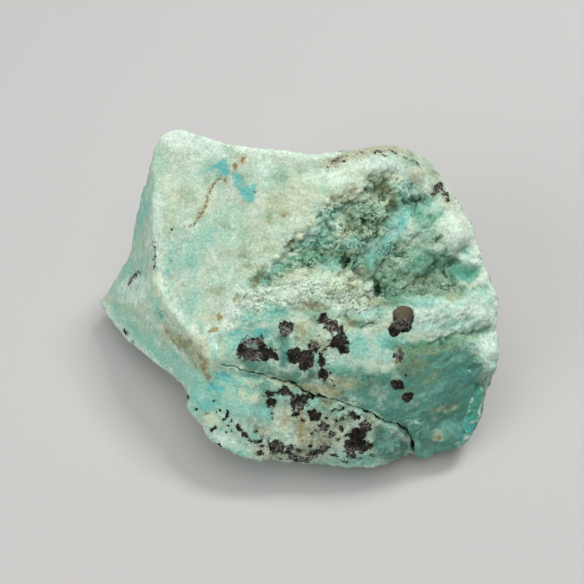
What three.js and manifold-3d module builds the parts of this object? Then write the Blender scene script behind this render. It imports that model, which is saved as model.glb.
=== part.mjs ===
// A hand-sized lump of raw chrysocolla, broken out of its vein and never cut or polished.
//
// Millimetres, +Z up. The lump lies on its one flat break (the sole) in the plane Z = 0, with the origin
// under the middle of its outline. +X runs to the thick, rounded end and -X to the thin, pointed one.
// -Y is the front: the smooth break, the crystal belt and the rounded front face all look that way.

import * as THREE from "three";
import { ConvexGeometry } from "three/addons/geometries/ConvexGeometry.js";
import { ImprovedNoise } from "three/addons/math/ImprovedNoise.js";
import { mergeVertices } from "three/addons/utils/BufferGeometryUtils.js";
import Module from "manifold-3d";

// ---- Driving dimensions, in millimetres ----

const SOLE_CUT = 0.9; // how much is broken off level to make the sole
const HEART = [-2, 0, 23]; // a point from which the whole outside can be seen
const FRONT = [-0.25, -0.75, 0.6]; // the way that the faces with the finer facets look
const SHOWN_FROM = -0.2; // cosine to FRONT, seen from the heart, above which a place counts as front
const HIDDEN_FROM = -0.36; // and below which it counts as back or underside

const EDGE_HIDDEN = 3.9; // longest facet edge on the back and the underside
const EDGE_FRONT = 3.0; // longest facet edge on the front
const EDGE_ROUGH = 2.0; // longest facet edge among the crystals and along the crack
const EDGE_FADE = 5; // distance over which the facets grow from the rough size to the plain one
const CRACK_BAND = 1; // distance to each side of the crack that has rough-size facets
const NOTCH_BAND = 2; // the same for the notch
const THIN_PAIR = 1.02 * Math.PI; // sum of the far angles above which a pair of faces is too thin
const FLAT_PAIR = 0.94; // least cosine between two faces whose shared edge may be turned
const TURNS_PER_SPLIT = 3; // rounds of turning thin pairs after each round of splitting
const LAST_TURNS = 6;

const ROUNDING_PASSES = 16;
const ROUNDING_PULL = 0.55; // share of the way to its neighbours that one pass pulls a point
const ROUNDING_PUSH = 0.56; // share it is pushed back after, which keeps the lump from shrinking
const SHARP_REACH = 3; // distance from a sharp edge over which the rounding fades in
const SHARP_SHARE = 0.12; // share of the rounding left right at a sharp edge
const HIDDEN_SHARE = 0.35; // share of the rounding on the back, which broke in flat pieces

const ROUGH_REACH = 4.5; // how far rough ground spreads to each side of its lines
const PLAIN_RELIEF = 0.32; // height of the dents on the smooth faces
const ROUGH_RELIEF = 0.85; // height of the lumps among the crystals
const HIDDEN_RELIEF = 0.8; // height of the lumps on the back and the underside
const STROKE_FULL = 0.2; // share of a stroke's half width that keeps its full height
const STROKE_END = 1.6; // share of it at which the height has faded to nothing
const PIT_FULL = 0.15; // share of a pit's reach that keeps its full depth
const BREAK_PRESS = 0.93; // share of what stands beyond a flat break that is gone
const GROUND_WIDTH = 200; // the block that is cut away below the sole
const GROUND_DEPTH = 40;

// Corners of the lump, edge by edge. Each line is an edge or a row of high or low points on a face.
const topRim = [
  [-29.5, 26.5, 45], [-26, 27.5, 46], [-21, 24.5, 46.5], [-16, 21, 47.5], [-10.5, 19.5, 48],
  [-4, 17, 49.5], [3, 15, 50], [9, 14, 50.3], [12, 13.8, 50.6],
];
const hump = [[14.5, 16.3, 50.3], [18, 19, 49], [22, 20, 47.3], [27, 20.7, 43.4]];
const humpCrest = [[16.5, 14.5, 50], [21.5, 15.5, 47.8], [26, 16, 44]];
const rightRim = [
  [30, 19.5, 40], [32.5, 15.5, 38], [36, 9, 35.3], [37.3, 4.5, 33], [39, 1.5, 30], [40.5, -2.5, 27.5],
  [41, -7, 25], [40.5, -9.5, 23.5], [41, -13, 21], [40.5, -15.5, 18.5], [37.8, -18.5, 15.5], [37.5, -21, 13],
  [37.3, -23.5, 9.5], [35.5, -25.5, 7], [33.5, -27.3, 6.5], [31, -27.8, 6.5],
];
const frontFoot = [
  [27.5, -29, 4.5], [23, -29.5, 6], [20, -30, 6.5], [14.5, -32, 6.5], [9, -32.5, 7.5],
  [2.5, -32, 8], [-3.5, -31.8, 8.8], [-11.5, -31.5, 9.5], [-17, -29.3, 10.5], [-19.7, -27, 11.5],
];
const leftFoot = [
  [-21.5, -24, 12.5], [-23.5, -22, 13.5], [-24, -18, 14], [-27, -13.5, 13.5], [-32.5, -9, 12],
  [-39, -2, 9.5], [-44.5, 6, 7.5], [-47.3, 11, 7],
];
const leftRim = [
  [-45, 12.5, 8.5], [-42, 16, 11.5], [-40, 17.5, 14.5], [-38, 19.5, 20], [-37, 20, 24.5], [-35.3, 21, 31],
  [-33, 22.5, 37], [-31.3, 24.5, 42.5],
];
const leftRidge = [
  [-30, 23.5, 42], [-31, 15, 37], [-31, 7.5, 32.5], [-29, -1, 28.5], [-25, -7, 27], [-20.5, -13.5, 25.5],
  [-17.5, -17.5, 24.3],
];
const leftLedge = [
  [-32, -1.5, 24.5], [-28.5, -7.5, 23.2], [-25.5, -11.5, 21.8], [-22, -15.5, 21], [-19.5, -18.5, 20.5],
];
const smoothFace = [
  [-23, 18.5, 42.1], [-20.5, 5, 35.7], [-19.5, -6.5, 30.2], [-10, 9, 42.2], [-2, 8.5, 45.3],
];
const stepRim = [
  [-15.5, -14, 26.5], [-12.5, -7, 32.2], [-7.5, -3.7, 36], [-2, -0.4, 40], [3.5, 3, 44], [9.5, 7, 46.8],
  [15, 10, 47.5],
];
const crystalBelt = [[0, -1.5, 38.6], [6, 1.8, 41.4], [13, 5.5, 43.2], [19.5, 10, 44], [25.5, 14, 43]];
const blueGully = [[22, 7.5, 41.3], [18.8, 3.6, 37.6], [16.7, -1, 34], [15.5, -4.5, 31]];
const midBrow = [[-7.5, -7, 33.5], [0, -6.5, 36], [8, -6, 36], [12, -6.5, 33.8]];
const rightBulge = [
  [26, 5, 40], [31.5, 4, 38], [28.5, 0, 34.8], [35, 1, 32.3], [30, -4, 31], [22.5, -4, 31.4],
];
const paleRib = [[19, -9.5, 29.6], [27, -9.7, 29.5], [35.5, -9, 27.6]];
const ribGroove = [[25.5, -13.2, 26], [33.5, -12.4, 25]];
const lowerRight = [
  [36.5, -15.5, 22.3], [28, -17.5, 22.8], [20, -19.5, 23], [20, -24.5, 19.3], [28, -22.8, 17.8],
  [34, -21, 15.5], [26.5, -26.3, 12.5], [32.5, -24.5, 10.5],
];
const frontFace = [
  [-10, -13, 29], [0, -14.5, 30.6], [8.5, -14.5, 30.6], [-10, -19, 23], [-0.5, -22, 22.3], [8, -24.7, 21],
  [15.5, -27, 18], [21.5, -27.7, 14.5], [-12, -24.5, 18], [-2, -27, 16.3], [8, -29, 14.7], [17, -29.3, 12.7],
];
const backShoulder = [[-33, 28, 30], [-18, 31.5, 33.5], [2, 26.5, 35.5], [18, 25, 37], [31, 17.5, 31]];
const backFoot = [[-38, 24, 8], [-27, 32, 12], [-8, 34, 15], [12, 32, 13], [28, 25, 10], [38, 13, 12]];
const rightFlank = [[42, -2, 12], [41, -14, 8]];
const underside = [
  [-33, 16, 0], [-24, 25, 0], [-6, 28, 0], [14, 26, 0], [28, 18, 0], [34, 4, 0], [34, -12, 0], [27, -23, 0],
  [10, -26.5, 0], [-8, -25, 0], [-19, -14, 0], [-28, 0, 0], [0, 0, 0], [-15, 8, 0], [16, -6, 0],
];
const corners = [
  topRim, hump, humpCrest, rightRim, frontFoot, leftFoot, leftRim, leftRidge, leftLedge, smoothFace, stepRim,
  crystalBelt, blueGully, midBrow, rightBulge, paleRib, ribGroove, lowerRight, frontFace, backShoulder,
  backFoot, rightFlank, underside,
].flatMap(vectors);

// Edges that broke sharp. Everywhere else the weather has rounded the lump.
const sharpEdges = [topRim, hump, rightRim, leftRim, leftRidge, leftFoot, frontFoot].map(vectors);

// Rough ground: the crystal belt, the gully beside it and the granular ground that runs to the right rim.
const roughGround = [
  [[-5, -3.5, 37], [-1, -2, 39], [9, 2.5, 42], [17, 8, 43.5], [23, 13, 43.5]],
  [[-3, -6, 36], [8, -4, 37.5], [16, 0, 35], [18.5, 4, 38], [22, 9, 41.5]],
  [[16, -5, 31], [24, -3, 31.5], [32, 3, 34.5], [27, 8, 40]],
  [[18, -8, 30], [29, -7, 29.5], [38, -6, 27]],
].map(vectors);

// The crack across the front face. It opens into a notch at the foot.
const crack = [
  [-15, -18, 24], [-12.5, -18.5, 23], [-9.5, -19.3, 23], [-5.5, -20.7, 22.5], [-1.5, -21.3, 22.3],
  [1.5, -23, 21.5], [4.5, -24, 21], [9.5, -25.5, 20.3], [14, -26.5, 18.7], [16.5, -27, 17.3],
  [19.5, -27.5, 15.5], [21.3, -28, 14],
];
const notch = [[21.3, -28, 14], [22.6, -28.6, 11], [22.8, -29, 8], [22.6, -29.3, 6]];

// Ridges and grooves: a line, its half width, and how far it rises (or sinks, below zero).
const strokes = [
  { line: crack, half: 1, rise: -0.25 },
  { line: notch, half: 1.7, rise: -1.3 },
  // The foot of the step between the smooth face and the crystal belt, and the brow below the belt.
  { line: [[-6, -4.5, 36], [0, -1.8, 39.6], [7, 3, 43], [14, 8, 45.5]], half: 2, rise: -0.7 },
  { line: [[14.5, -4, 33], [11, -6.5, 35], [5, -8, 36], [-1, -9, 35]], half: 2.5, rise: 0.7 },
  // The cleft in the gully, the granular streak beside it and the furrow under that.
  { line: [[19.5, 1.5, 36.5], [17.5, -1, 34.5]], half: 1.5, rise: -0.9 },
  { line: [[22, -1, 33], [28, 3, 36.5], [33, 8, 38.5]], half: 2, rise: 0.8 },
  { line: [[25, -2.5, 31.5], [31, 0.5, 33.5], [35, 4, 35]], half: 1.6, rise: -0.8 },
  // The seam of dark grains, the pale rib, the groove below it and the second rib.
  { line: [[18, -6, 30.5], [26, -4.5, 30.5], [33, -3.5, 30]], half: 1.3, rise: -0.7 },
  { line: [[20, -9.5, 29.5], [28.5, -7.5, 29.5], [37, -6, 27.5]], half: 2.2, rise: 0.8 },
  { line: [[23, -14.5, 26], [30, -13, 25.3], [39, -10.5, 24]], half: 1.6, rise: -0.4 },
  { line: [[27, -16, 24], [33, -14.5, 23], [39, -13.5, 21.5]], half: 1.8, rise: 0.6 },
].map((stroke) => ({ ...stroke, line: vectors(stroke.line) }));

// Pits: the middle, how far it reaches and how deep it is.
const pits = [
  { at: [15.5, -5, 31], reach: 2.6, depth: 2.6 },
  { at: [9, -2.5, 38], reach: 2.4, depth: 1.3 },
  { at: [12.7, -5, 34.5], reach: 2, depth: 1 },
  { at: [17, 8, 44.5], reach: 3.5, depth: 1 },
  { at: [34.5, 1, 32], reach: 5, depth: 1.5 },
  { at: [38.5, -17, 16.5], reach: 2.6, depth: 1.2 },
].map((pit) => ({ ...pit, at: new THREE.Vector3(...pit.at) }));

// Flat breaks on the back, the right end and the underside: whatever stands beyond the plane through
// "at" that faces "out" is gone.
const breaks = [
  { at: [-21, 30.6, 31], out: [-0.3, 0.95, 0.06] },
  { at: [22, 25.5, 27], out: [0.5, 0.86, 0.1] },
  { at: [35.5, 14, 22], out: [0.87, 0.48, 0.08] },
  { at: [-4, 31.5, 18], out: [0.05, 0.98, -0.2] },
  { at: [-33, 26.5, 18], out: [-0.6, 0.8, -0.05] },
  { at: [16, 28.5, 8], out: [0.3, 0.8, -0.55] },
  { at: [-22, 26, 5], out: [-0.2, 0.6, -0.78] },
  { at: [-33, 3, 4], out: [-0.35, -0.25, -0.9] },
  { at: [-16, -20.5, 3], out: [-0.4, -0.6, -0.7] },
  { at: [8, -29, 3], out: [0.05, -0.7, -0.72] },
  { at: [36.5, -8, 5], out: [0.82, -0.1, -0.57] },
  { at: [40, -6, 15], out: [0.97, 0.05, -0.15] },
].map(({ at, out }) => ({ at: new THREE.Vector3(...at), out: new THREE.Vector3(...out).normalize() }));

const heart = new THREE.Vector3(...HEART);
const front = new THREE.Vector3(...FRONT).normalize();
const noise = new ImprovedNoise();

// ---- Meshes held as {points: [Vector3], faces: [[a, b, c]]} ----

/** Vectors for a list of [x, y, z]. */
function vectors(list) {
  return list.map((c) => new THREE.Vector3(...c));
}

/** The corners, skinned by the hull of their directions from the heart. */
function skinCorners() {
  const directions = corners.map((c) => c.clone().sub(heart).normalize());
  const hull = new ConvexGeometry(directions).getAttribute("position");
  const nearest = (v) => {
    const gaps = directions.map((d) => d.distanceToSquared(v));
    return gaps.indexOf(Math.min(...gaps));
  };
  const faces = [];
  const v = new THREE.Vector3();
  for (let i = 0; i < hull.count; i += 3) {
    faces.push([i, i + 1, i + 2].map((k) => nearest(v.fromBufferAttribute(hull, k))));
  }
  return { points: corners.map((c) => c.clone()), faces };
}

/** Distance from a point to a line of points. */
function distanceTo(line, p) {
  const near = new THREE.Vector3();
  const segment = new THREE.Line3();
  let least = Infinity;
  for (let i = 1; i < line.length; i++) {
    segment.set(line[i - 1], line[i]).closestPointToPoint(p, true, near);
    least = Math.min(least, near.distanceTo(p));
  }
  return least;
}

/** 0 on the faces that look forward and up, 1 on the back and the underside. */
function hiddenShare(p) {
  const forward = p.clone().sub(heart).normalize().dot(front);
  return 1 - THREE.MathUtils.smoothstep(forward, HIDDEN_FROM, SHOWN_FROM);
}

/** Distance outside the rough ground; below zero inside it. */
function outsideRough(p) {
  return Math.min(...roughGround.map((line) => distanceTo(line, p))) - ROUGH_REACH;
}

/** The longest edge allowed at a point. */
function edgeLimit(p) {
  const plain = THREE.MathUtils.lerp(EDGE_FRONT, EDGE_HIDDEN, hiddenShare(p));
  const [crackStroke, notchStroke] = strokes;
  const gap = Math.min(
    outsideRough(p),
    distanceTo(crackStroke.line, p) - CRACK_BAND,
    distanceTo(notchStroke.line, p) - NOTCH_BAND,
  );
  return THREE.MathUtils.lerp(EDGE_ROUGH, plain, THREE.MathUtils.smoothstep(gap, 0, EDGE_FADE));
}

/** Splits each edge over its limit at the middle, on both of its faces. Returns whether any was split. */
function splitLongEdges(mesh) {
  const { points } = mesh;
  const middles = new Map();
  const middle = (a, b) => {
    const centre = points[a].clone().add(points[b]).multiplyScalar(0.5);
    if (points[a].distanceTo(points[b]) <= edgeLimit(centre)) return -1;
    const key = edgeKey(a, b);
    if (!middles.has(key)) {
      middles.set(key, points.length);
      points.push(centre);
    }
    return middles.get(key);
  };
  mesh.faces = mesh.faces.flatMap(([a, b, c]) =>
    splitFace([a, b, c], [middle(a, b), middle(b, c), middle(c, a)], points),
  );
  return middles.size > 0;
}

/** One face cut at the middles of its long edges: mids[i] lies between corner i and the next, or is -1. */
function splitFace(face, mids, points) {
  const count = mids.filter((m) => m >= 0).length;
  if (count === 0) return [face];
  if (count === 3) {
    const [a, b, c] = face;
    const [ab, bc, ca] = mids;
    return [[a, ab, ca], [ab, b, bc], [ca, bc, c], [ab, bc, ca]];
  }
  // Turn the face so that its first edge is split, and the last one isn't.
  const turn = mids.findIndex((m, i) => m >= 0 && mids[(i + 2) % 3] < 0);
  const [a, b, c] = [0, 1, 2].map((i) => face[(i + turn) % 3]);
  const [ab, bc] = [0, 1].map((i) => mids[(i + turn) % 3]);
  if (bc < 0) return [[a, ab, c], [ab, b, c]];
  const viaA = points[a].distanceTo(points[bc]) < points[ab].distanceTo(points[c]);
  return viaA ? [[ab, b, bc], [a, ab, bc], [a, bc, c]] : [[ab, b, bc], [a, ab, c], [ab, bc, c]];
}

/** One name for the edge between two points, whichever comes first. */
function edgeKey(a, b) {
  return Math.min(a, b) + "_" + Math.max(a, b);
}

/** The two faces beside each edge, by the edge's name. */
function facesBesideEdges(faces) {
  const beside = new Map();
  faces.forEach((face, f) => {
    for (let i = 0; i < 3; i++) {
      const key = edgeKey(face[i], face[(i + 1) % 3]);
      if (!beside.has(key)) beside.set(key, []);
      beside.get(key).push(f);
    }
  });
  return beside;
}

/** The angle at corner p of the triangle p, a, b. */
function angleAt(p, a, b) {
  return a.clone().sub(p).angleTo(b.clone().sub(p));
}

/** The unit normal of the triangle a, b, c. */
function normalOf(a, b, c) {
  return b.clone().sub(a).cross(c.clone().sub(a)).normalize();
}

/** Turns the shared edge of each nearly flat pair of thin faces, so that the facets come out even. */
function turnThinPairs({ points, faces }) {
  const beside = facesBesideEdges(faces);
  const touched = new Set();
  for (const [key, pair] of beside) {
    if (pair.some((f) => touched.has(f))) continue;
    const [first, second] = pair.map((f) => faces[f]);
    const i = [0, 1, 2].find((k) => edgeKey(first[k], first[(k + 1) % 3]) === key);
    const [a, b, c] = [first[i], first[(i + 1) % 3], first[(i + 2) % 3]];
    const d = second.find((v) => v !== a && v !== b);
    if (beside.has(edgeKey(c, d))) continue;
    const [pa, pb, pc, pd] = [a, b, c, d].map((v) => points[v]);
    if (angleAt(pc, pa, pb) + angleAt(pd, pa, pb) < THIN_PAIR) continue;
    const normal = normalOf(pa, pb, pc);
    const others = [normalOf(pb, pa, pd), normalOf(pc, pd, pb), normalOf(pd, pc, pa)];
    if (others.some((n) => n.dot(normal) < FLAT_PAIR)) continue;
    faces[pair[0]] = [c, d, b];
    faces[pair[1]] = [d, c, a];
    pair.forEach((f) => touched.add(f));
  }
}

/** The neighbours of each point. */
function neighboursOf({ points, faces }) {
  const around = points.map(() => new Set());
  for (const [a, b, c] of faces) {
    around[a].add(b).add(c);
    around[b].add(c).add(a);
    around[c].add(a).add(b);
  }
  return around.map((s) => [...s]);
}

/** Moves every point towards the middle of its neighbours by its own share (away from it, below zero). */
function pull(mesh, around, shares) {
  mesh.points = mesh.points.map((p, i) => {
    const mean = new THREE.Vector3();
    for (const k of around[i]) mean.add(mesh.points[k]);
    return p.clone().lerp(mean.divideScalar(around[i].length), shares[i]);
  });
}

/** Rounds the lump, least along the edges that broke sharp. */
function soften(mesh) {
  const around = neighboursOf(mesh);
  const shares = mesh.points.map((p) => {
    const reach = Math.min(...sharpEdges.map((line) => distanceTo(line, p))) / SHARP_REACH;
    const sharp = THREE.MathUtils.lerp(SHARP_SHARE, 1, THREE.MathUtils.smoothstep(reach, 0, 1));
    return sharp * THREE.MathUtils.lerp(1, HIDDEN_SHARE, hiddenShare(p));
  });
  for (let pass = 0; pass < ROUNDING_PASSES; pass++) {
    pull(mesh, around, shares.map((s) => s * ROUNDING_PULL));
    pull(mesh, around, shares.map((s) => -s * ROUNDING_PUSH));
  }
}

/** The unit normal at each point. */
function pointNormals({ points, faces }) {
  const normals = points.map(() => new THREE.Vector3());
  for (const face of faces) {
    const [a, b, c] = face.map((v) => points[v]);
    const normal = b.clone().sub(a).cross(c.clone().sub(a));
    for (const v of face) normals[v].add(normal);
  }
  return normals.map((n) => n.normalize());
}

/** Smooth noise between -1 and 1 whose lumps are about "size" across. */
function lumps(p, size, shift) {
  return noise.noise(p.x / size + shift, p.y / size - shift, p.z / size + 2 * shift);
}

/** Noise between -1.5 and 0.5 that peaks in sharp ridges about "size" apart. */
function ridges(p, size, shift) {
  return 0.5 - 2 * Math.abs(lumps(p, size, shift));
}

/** How far the surface stands out of the rounded lump at a point. */
function reliefAt(p) {
  const hidden = hiddenShare(p);
  const rough = (1 - hidden) * (1 - THREE.MathUtils.smoothstep(outsideRough(p), 0, EDGE_FADE));
  const crystals = 0.7 * ridges(p, 7, 3.3) + 0.8 * lumps(p, 3.1, 1.7);
  const dents = lumps(p, 11, 5.1) + 0.6 * lumps(p, 4.5, 7.7);
  const chips = 0.8 * lumps(p, 13, 2.9) + 0.55 * ridges(p, 8, 9.1) + 0.4 * lumps(p, 4, 4.3);
  const plain = THREE.MathUtils.lerp(PLAIN_RELIEF * dents, HIDDEN_RELIEF * chips, hidden);
  let height = THREE.MathUtils.lerp(plain, ROUGH_RELIEF * crystals, rough);
  for (const { line, half, rise } of strokes) {
    const away = distanceTo(line, p) / half;
    height += rise * (1 - THREE.MathUtils.smoothstep(away, STROKE_FULL, STROKE_END));
  }
  for (const { at, reach, depth } of pits) {
    height -= depth * (1 - THREE.MathUtils.smoothstep(at.distanceTo(p), PIT_FULL * reach, reach));
  }
  return height;
}

/** Raises and sinks every point by the relief. */
function roughen(mesh) {
  const normals = pointNormals(mesh);
  mesh.points = mesh.points.map((p, i) => p.clone().addScaledVector(normals[i], reliefAt(p)));
}

/** Presses what stands beyond a flat break back onto it, but for a trace of its own relief. */
function breakFlat(mesh) {
  for (const { at, out } of breaks) {
    for (const p of mesh.points) {
      const beyond = p.clone().sub(at).dot(out);
      if (beyond > 0) p.addScaledVector(out, -BREAK_PRESS * beyond);
    }
  }
}

// ---- The finished lump ----

const wasm = await Module();
wasm.setup();

/** A solid from a mesh held as points and faces. */
function solidFrom({ points, faces }) {
  return new wasm.Manifold(
    new wasm.Mesh({
      numProp: 3,
      vertProperties: new Float32Array(points.flatMap((p) => p.toArray())),
      triVerts: new Uint32Array(faces.flat()),
    }),
  );
}

/** A solid box from its size, centred over the origin at a height. */
function boxSolid(size, height) {
  const sides = new THREE.BoxGeometry(...size).deleteAttribute("normal").deleteAttribute("uv");
  const box = mergeVertices(sides.translate(0, 0, height));
  const at = box.getAttribute("position");
  const points = Array.from({ length: at.count }, (_, i) => new THREE.Vector3().fromBufferAttribute(at, i));
  const faces = [];
  for (let i = 0; i < box.index.count; i += 3) faces.push([0, 1, 2].map((k) => box.index.getX(i + k)));
  return solidFrom({ points, faces });
}

/** The whole lump, before its underside is broken level. */
function makeLump() {
  const mesh = skinCorners();
  while (splitLongEdges(mesh)) {
    for (let i = 0; i < TURNS_PER_SPLIT; i++) turnThinPairs(mesh);
  }
  for (let i = 0; i < LAST_TURNS; i++) turnThinPairs(mesh);
  soften(mesh);
  roughen(mesh);
  breakFlat(mesh);
  return solidFrom(mesh);
}

/** The lump cut level at the sole, standing on Z = 0 with the middle of its outline over the origin. */
function makeGeometry() {
  const ground = boxSolid([GROUND_WIDTH, GROUND_WIDTH, GROUND_DEPTH], SOLE_CUT - GROUND_DEPTH / 2);
  const cut = makeLump().subtract(ground).getMesh();
  const geometry = new THREE.BufferGeometry()
    .setAttribute("position", new THREE.BufferAttribute(cut.vertProperties, 3))
    .setIndex(new THREE.BufferAttribute(cut.triVerts, 1));
  geometry.computeBoundingBox();
  const middle = geometry.boundingBox.getCenter(new THREE.Vector3());
  geometry.translate(-middle.x, -middle.y, -SOLE_CUT);
  geometry.computeVertexNormals();
  return geometry;
}

const stone = new THREE.MeshStandardMaterial({ color: 0x9fc9b4, roughness: 0.9, metalness: 0 });
const chrysocolla = new THREE.Mesh(makeGeometry(), stone);
chrysocolla.name = "chrysocolla";
const part = new THREE.Group();
part.add(chrysocolla);
export default part;
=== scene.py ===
"""A raw lump of chrysocolla, with its crystal belt, dark mineral spots and hairline crack.

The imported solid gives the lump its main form. This script splits that form finer, raises the
stone's own grain on it, works out where each tint and spot lies, grows the crystals, and
lights the lump on a pale floor. Lengths are in millimetres until a piece is made, which is
when they turn into metres. Marks lie in picture points: the square that the viewpoint sees,
PICTURE_SIDE points wide, counted from its top left corner. A mark is worked out at the
stone's own points, so it sits on the surface from any side.
"""

import logging
import math
from dataclasses import dataclass, field
from enum import Enum, IntEnum
from typing import Iterable, Protocol, Sequence

import bmesh
import bpy
import numpy as np
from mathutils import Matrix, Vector, noise


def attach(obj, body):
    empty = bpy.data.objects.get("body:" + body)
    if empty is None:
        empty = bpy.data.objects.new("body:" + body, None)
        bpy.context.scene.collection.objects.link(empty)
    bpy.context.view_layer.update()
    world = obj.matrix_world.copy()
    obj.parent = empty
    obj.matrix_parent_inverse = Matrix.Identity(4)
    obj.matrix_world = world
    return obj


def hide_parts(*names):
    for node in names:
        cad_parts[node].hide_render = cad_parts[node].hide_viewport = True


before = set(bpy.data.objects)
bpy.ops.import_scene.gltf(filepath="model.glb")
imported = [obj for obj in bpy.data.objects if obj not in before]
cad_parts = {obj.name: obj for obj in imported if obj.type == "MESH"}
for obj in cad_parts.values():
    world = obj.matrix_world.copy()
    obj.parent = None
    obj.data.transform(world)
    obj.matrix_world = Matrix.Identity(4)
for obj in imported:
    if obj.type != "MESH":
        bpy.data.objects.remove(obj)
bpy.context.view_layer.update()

log = logging.getLogger("chrysocolla")

NODE = "chrysocolla"
BODY = "root"
MM = 0.001
SAME_PLACE = 2e-6
PICTURE_SIDE = 584
SENSOR = 36.0
FAR_AWAY = 1e3

Rows = np.ndarray
Colour = tuple[float, float, float]
Place = tuple[float, float, float]
Point = tuple[float, float]
Span = tuple[float, float]
Sockets = bpy.types.bpy_prop_collection
Socket = bpy.types.NodeSocket
Tree = bpy.types.NodeTree
Thing = bpy.types.Object


# ---------------------------------------------------------------- small helpers


def ease(low: float, high: float, value: Rows) -> Rows:
    """Rise smoothly from 0 to 1.

    Args:
        low: Where the rise starts.
        high: Where it ends.
        value: What is measured.

    Returns:
        0 at low and under it, 1 at high and over it.
    """
    t = np.clip((value - low) / (high - low), 0.0, 1.0)
    return t * t * (3.0 - 2.0 * t)


def at_least(least: float, share: Rows) -> Rows:
    """Squeeze a share of 0 to 1 so that it starts at least at the number given."""
    return least + (1.0 - least) * share


def unit(rows: Rows) -> Rows:
    """Scale each row to a length of 1."""
    return rows / np.maximum(np.linalg.norm(rows, axis=1, keepdims=True), 1e-12)


# ---------------------------------------------------------------- viewpoint


@dataclass(frozen=True)
class Viewpoint:
    """Where the lump is looked at from."""

    aim: Place = (1.28, 0.3, 23.1)
    distance: float = 191.0
    elevation: float = 52.0
    field: float = 36.0

    @property
    def forward(self) -> Rows:
        """The way that the view looks."""
        slope = math.radians(self.elevation)
        return np.array((0.0, math.cos(slope), -math.sin(slope)))

    @property
    def up(self) -> Rows:
        """The picture's upward way."""
        slope = math.radians(self.elevation)
        return np.array((0.0, math.sin(slope), math.cos(slope)))

    @property
    def place(self) -> Rows:
        """Where the eye is."""
        return np.array(self.aim) - self.forward * self.distance

    @property
    def focal(self) -> float:
        """Picture points that a unit of slope takes."""
        return PICTURE_SIDE / 2 / math.tan(math.radians(self.field / 2))

    def picture(self, points: Rows) -> tuple[Rows, Rows]:
        """Find where points are seen.

        Args:
            points: Places in mm, one a row.

        Returns:
            Picture x and picture y.
        """
        rel = points - self.place
        depth = rel @ self.forward
        x = PICTURE_SIDE / 2 + self.focal * rel[:, 0] / depth
        y = PICTURE_SIDE / 2 - self.focal * (rel @ self.up) / depth
        return x, y

    def facing(self, points: Rows, normals: Rows) -> Rows:
        """Say how squarely each point faces the eye, from -1 to 1."""
        return np.einsum("ij,ij->i", unit(self.place - points), normals)

    def make_camera(self) -> Thing:
        """Make the scene's camera at the viewpoint and return it."""
        camera = bpy.data.objects.new("viewpoint", bpy.data.cameras.new("viewpoint"))
        bpy.context.scene.collection.objects.link(camera)
        camera.location = Vector(self.place * MM)
        camera.rotation_euler = (math.radians(90 - self.elevation), 0.0, 0.0)
        camera.data.sensor_width = SENSOR
        camera.data.lens = SENSOR / 2 / math.tan(math.radians(self.field / 2))
        camera.data.clip_start = 0.01
        bpy.context.scene.camera = camera
        return camera


# ---------------------------------------------------------------- marks in the picture


class Mark(Protocol):
    """A shape in the picture that can say how far a place is from it."""

    def reach(self, x: Rows, y: Rows) -> Rows:
        """Give picture points from the mark's edge, under 0 inside it."""


@dataclass(frozen=True)
class Oval:
    """An oval, with its half widths and its tilt in degrees."""

    x: float
    y: float
    rx: float
    ry: float
    tilt: float = 0.0

    def reach(self, x: Rows, y: Rows) -> Rows:
        """Give picture points from the oval's edge, under 0 inside it."""
        c = math.cos(math.radians(self.tilt))
        s = math.sin(math.radians(self.tilt))
        u = (x - self.x) * c + (y - self.y) * s
        v = (y - self.y) * c - (x - self.x) * s
        return (np.hypot(u / self.rx, v / self.ry) - 1.0) * min(self.rx, self.ry)


@dataclass(frozen=True)
class Trail:
    """A line through points, with its half width."""

    half: float
    course: tuple[Point, ...]

    def reach(self, x: Rows, y: Rows) -> Rows:
        """Give picture points from the trail's edge, under 0 inside it."""
        best = np.full(len(x), 1e9)
        for (ax, ay), (bx, by) in zip(self.course, self.course[1:]):
            dx, dy = bx - ax, by - ay
            along = ((x - ax) * dx + (y - ay) * dy) / (dx * dx + dy * dy)
            along = np.clip(along, 0.0, 1.0)
            best = np.minimum(best, np.hypot(x - ax - dx * along, y - ay - dy * along))
        return best - self.half


@dataclass(frozen=True)
class Patch:
    """An area inside a closed outline."""

    outline: tuple[Point, ...]

    def reach(self, x: Rows, y: Rows) -> Rows:
        """Give picture points from the outline, under 0 inside it."""
        closed = self.outline + self.outline[:1]
        away = Trail(0.0, closed).reach(x, y)
        inside = np.zeros(len(x), bool)
        for (ax, ay), (bx, by) in zip(closed, closed[1:]):
            if ay != by:
                crossing = (bx - ax) * (y - ay) / (by - ay) + ax
                inside ^= ((ay > y) != (by > y)) & (x < crossing)
        return np.where(inside, -away, away)


@dataclass(frozen=True)
class Sight:
    """Where points lie in the picture, and how much each is on the seen side, from 0 to 1."""

    x: Rows
    y: Rows
    seen: Rows

    def reach(self, marks: Iterable[Mark]) -> Rows:
        """Measure how far each place is from whichever mark is nearest.

        Args:
            marks: The marks.

        Returns:
            Picture points from the nearest edge, under 0 inside a mark.
        """
        best = np.full(len(self.x), FAR_AWAY)
        for mark in marks:
            best = np.minimum(best, mark.reach(self.x, self.y))
        return best


def gather(*rows: Mark | tuple[float, ...]) -> tuple[Mark, ...]:
    """Gather marks. A plain row is an oval: its middle, its half widths and its tilt, if any."""
    return tuple(Oval(*row) if isinstance(row, tuple) else row for row in rows)


# ---------------------------------------------------------------- grounds, forms and tints


@dataclass(frozen=True)
class Ground:
    """How rough one stretch of the stone is, in mm of rise and fall, and how finely it is split.

    swell is the broad rise, lumps the knobs, blocks the angular crystals, sugar the round
    grains, streaks the slanting grooves, pits the small holes, creases the thin cracks and grit
    the finest grain.
    """

    name: str
    patch: Patch | None
    edge: float
    swell: float
    lumps: float
    blocks: float
    sugar: float
    streaks: float
    pits: float
    creases: float
    grit: float
    soft: float = 5.0


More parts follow.
